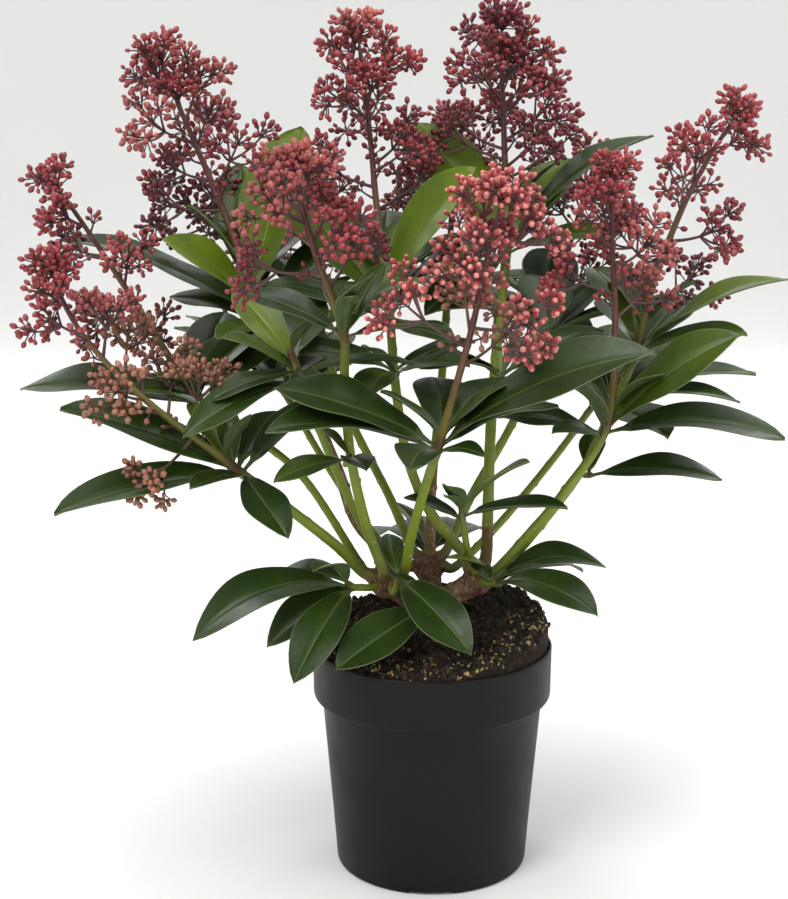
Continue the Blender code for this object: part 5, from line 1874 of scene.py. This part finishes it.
class BudSettings(bpy.types.PropertyGroup):
    length: length_prop("Length", "Length of a bud", 3.8 * MM)
    plump: number_prop("Plump", "Width of a bud as a share of its length", 0.82)
    per_cluster: count_prop("Buds in a cluster", "Buds at each end of a spray", 15)
    dark_twig: colour_prop("Twig colour", "Colour of the upper twigs", (0.090, 0.036, 0.038))
    plum_twig: colour_prop("Plum twig colour", "Colour of the twigs in between",
                           (0.105, 0.050, 0.050))
    olive_twig: colour_prop("Low twig colour", "Colour of the lowest twigs",
                            (0.115, 0.065, 0.032))
    crimson: colour_prop("Crimson", "Skin of the crimson buds", (0.31, 0.042, 0.045))
    crimson_tip: colour_prop("Crimson tip", "Tip of the crimson buds", (0.17, 0.020, 0.026))
    garnet: colour_prop("Garnet", "Skin of the garnet buds", (0.255, 0.033, 0.040))
    garnet_tip: colour_prop("Garnet tip", "Tip of the garnet buds", (0.12, 0.014, 0.020))
    rose: colour_prop("Rose", "Skin of the rose buds", (0.40, 0.092, 0.082))
    rose_tip: colour_prop("Rose tip", "Tip of the rose buds", (0.24, 0.045, 0.045))
    salmon: colour_prop("Salmon", "Skin of the salmon buds", (0.33, 0.050, 0.052))
    salmon_tip: colour_prop("Salmon tip", "Tip of the salmon buds", (0.54, 0.190, 0.160))
    tan: colour_prop("Tan", "Skin of the tan buds", (0.33, 0.135, 0.085))
    tan_tip: colour_prop("Tan tip", "Tip of the tan buds", (0.20, 0.085, 0.045))
    maroon: colour_prop("Maroon", "Skin of the maroon buds", (0.20, 0.026, 0.034))
    maroon_tip: colour_prop("Maroon tip", "Tip of the maroon buds", (0.07, 0.010, 0.016))


class StageSettings(bpy.types.PropertyGroup):
    floor_radius: length_prop("Floor radius", "Reach of the pale floor", 2.6)
    floor_colour: colour_prop("Floor colour", "Colour of the floor", (0.86, 0.86, 0.85))
    lens: number_prop("Lens", "Focal length of the camera in millimetres", 69.4)
    key: number_prop("Key", "Power of the key light in watts", 22.0)
    fill: number_prop("Fill", "Power of the fill light in watts", 9.0)
    back: number_prop("Back", "Power of each back light in watts", 7.0)
    above: number_prop("Above", "Power of the light above in watts", 26.0)
    air: number_prop("Air", "Strength of the light from all around", 0.62)


class SKIMMIA_OT_pot(bpy.types.Operator):
    """Make the moulded nursery pot"""
    bl_idname = "skimmia.pot"
    bl_label = "Pot"

    def execute(self, context):
        make_pot_shell(context.scene.skimmia_pot)
        return {"FINISHED"}


class SKIMMIA_OT_soil(bpy.types.Operator):
    """Make the mound of soil with its crumbs, chips and grit"""
    bl_idname = "skimmia.soil"
    bl_label = "Soil"

    def execute(self, context):
        make_soil(context.scene.skimmia_soil)
        return {"FINISHED"}


class SKIMMIA_OT_stems(bpy.types.Operator):
    """Make every young stem with its bark and its leaf scars"""
    bl_idname = "skimmia.stems"
    bl_label = "Stems"

    def execute(self, context):
        make_stems(context.scene.skimmia_stems)
        return {"FINISHED"}


class SKIMMIA_OT_crown(bpy.types.Operator):
    """Make the old crown: the stump, its limbs and its knots"""
    bl_idname = "skimmia.crown"
    bl_label = "Old crown"

    def execute(self, context):
        make_crown(context.scene.skimmia_crown)
        return {"FINISHED"}


class SKIMMIA_OT_leaves(bpy.types.Operator):
    """Make the leaves, joined by colour"""
    bl_idname = "skimmia.leaves"
    bl_label = "Leaves"

    def execute(self, context):
        make_leaves(context.scene.skimmia_leaves)
        return {"FINISHED"}


class SKIMMIA_OT_heads(bpy.types.Operator):
    """Make the flower heads: twigs, and buds joined by colour"""
    bl_idname = "skimmia.heads"
    bl_label = "Flower heads"

    def execute(self, context):
        make_heads(context.scene.skimmia_heads)
        return {"FINISHED"}


class SKIMMIA_OT_stage(bpy.types.Operator):
    """Make the floor, the lights and the camera"""
    bl_idname = "skimmia.stage"
    bl_label = "Stage"

    def execute(self, context):
        make_stage(context.scene.skimmia_stage)
        return {"FINISHED"}


# Each operator and its settings, in the order in which the panel lists them
MAKERS = (
    (SKIMMIA_OT_pot, PotSettings),
    (SKIMMIA_OT_soil, SoilSettings),
    (SKIMMIA_OT_stems, StemSettings),
    (SKIMMIA_OT_crown, CrownSettings),
    (SKIMMIA_OT_leaves, LeafSettings),
    (SKIMMIA_OT_heads, BudSettings),
    (SKIMMIA_OT_stage, StageSettings),
)


def settings_name(maker):
    """The scene's own name for an operator's settings."""
    return maker.bl_idname.replace(".", "_")


class SKIMMIA_PT_panel(bpy.types.Panel):
    """Lists the makers and their settings"""
    bl_idname = "SKIMMIA_PT_panel"
    bl_label = "Skimmia in a pot"
    bl_space_type = "VIEW_3D"
    bl_region_type = "UI"
    bl_category = "Skimmia"

    def draw(self, context):
        for maker, group in MAKERS:
            box = self.layout.box()
            box.operator(maker.bl_idname)
            for prop in group.__annotations__:
                box.prop(getattr(context.scene, settings_name(maker)), prop)


def register():
    for maker, group in MAKERS:
        bpy.utils.register_class(group)
        setattr(bpy.types.Scene, settings_name(maker), bpy.props.PointerProperty(type=group))
        bpy.utils.register_class(maker)
    bpy.utils.register_class(SKIMMIA_PT_panel)


def unregister():
    bpy.utils.unregister_class(SKIMMIA_PT_panel)
    for maker, group in reversed(MAKERS):
        bpy.utils.unregister_class(maker)
        delattr(bpy.types.Scene, settings_name(maker))
        bpy.utils.unregister_class(group)


def main():
    register()
    bpy.ops.skimmia.pot()
    bpy.ops.skimmia.soil()
    bpy.ops.skimmia.stems()
    bpy.ops.skimmia.crown()
    bpy.ops.skimmia.leaves()
    bpy.ops.skimmia.heads()
    bpy.ops.skimmia.stage()


if __name__ == "__main__":
    main()
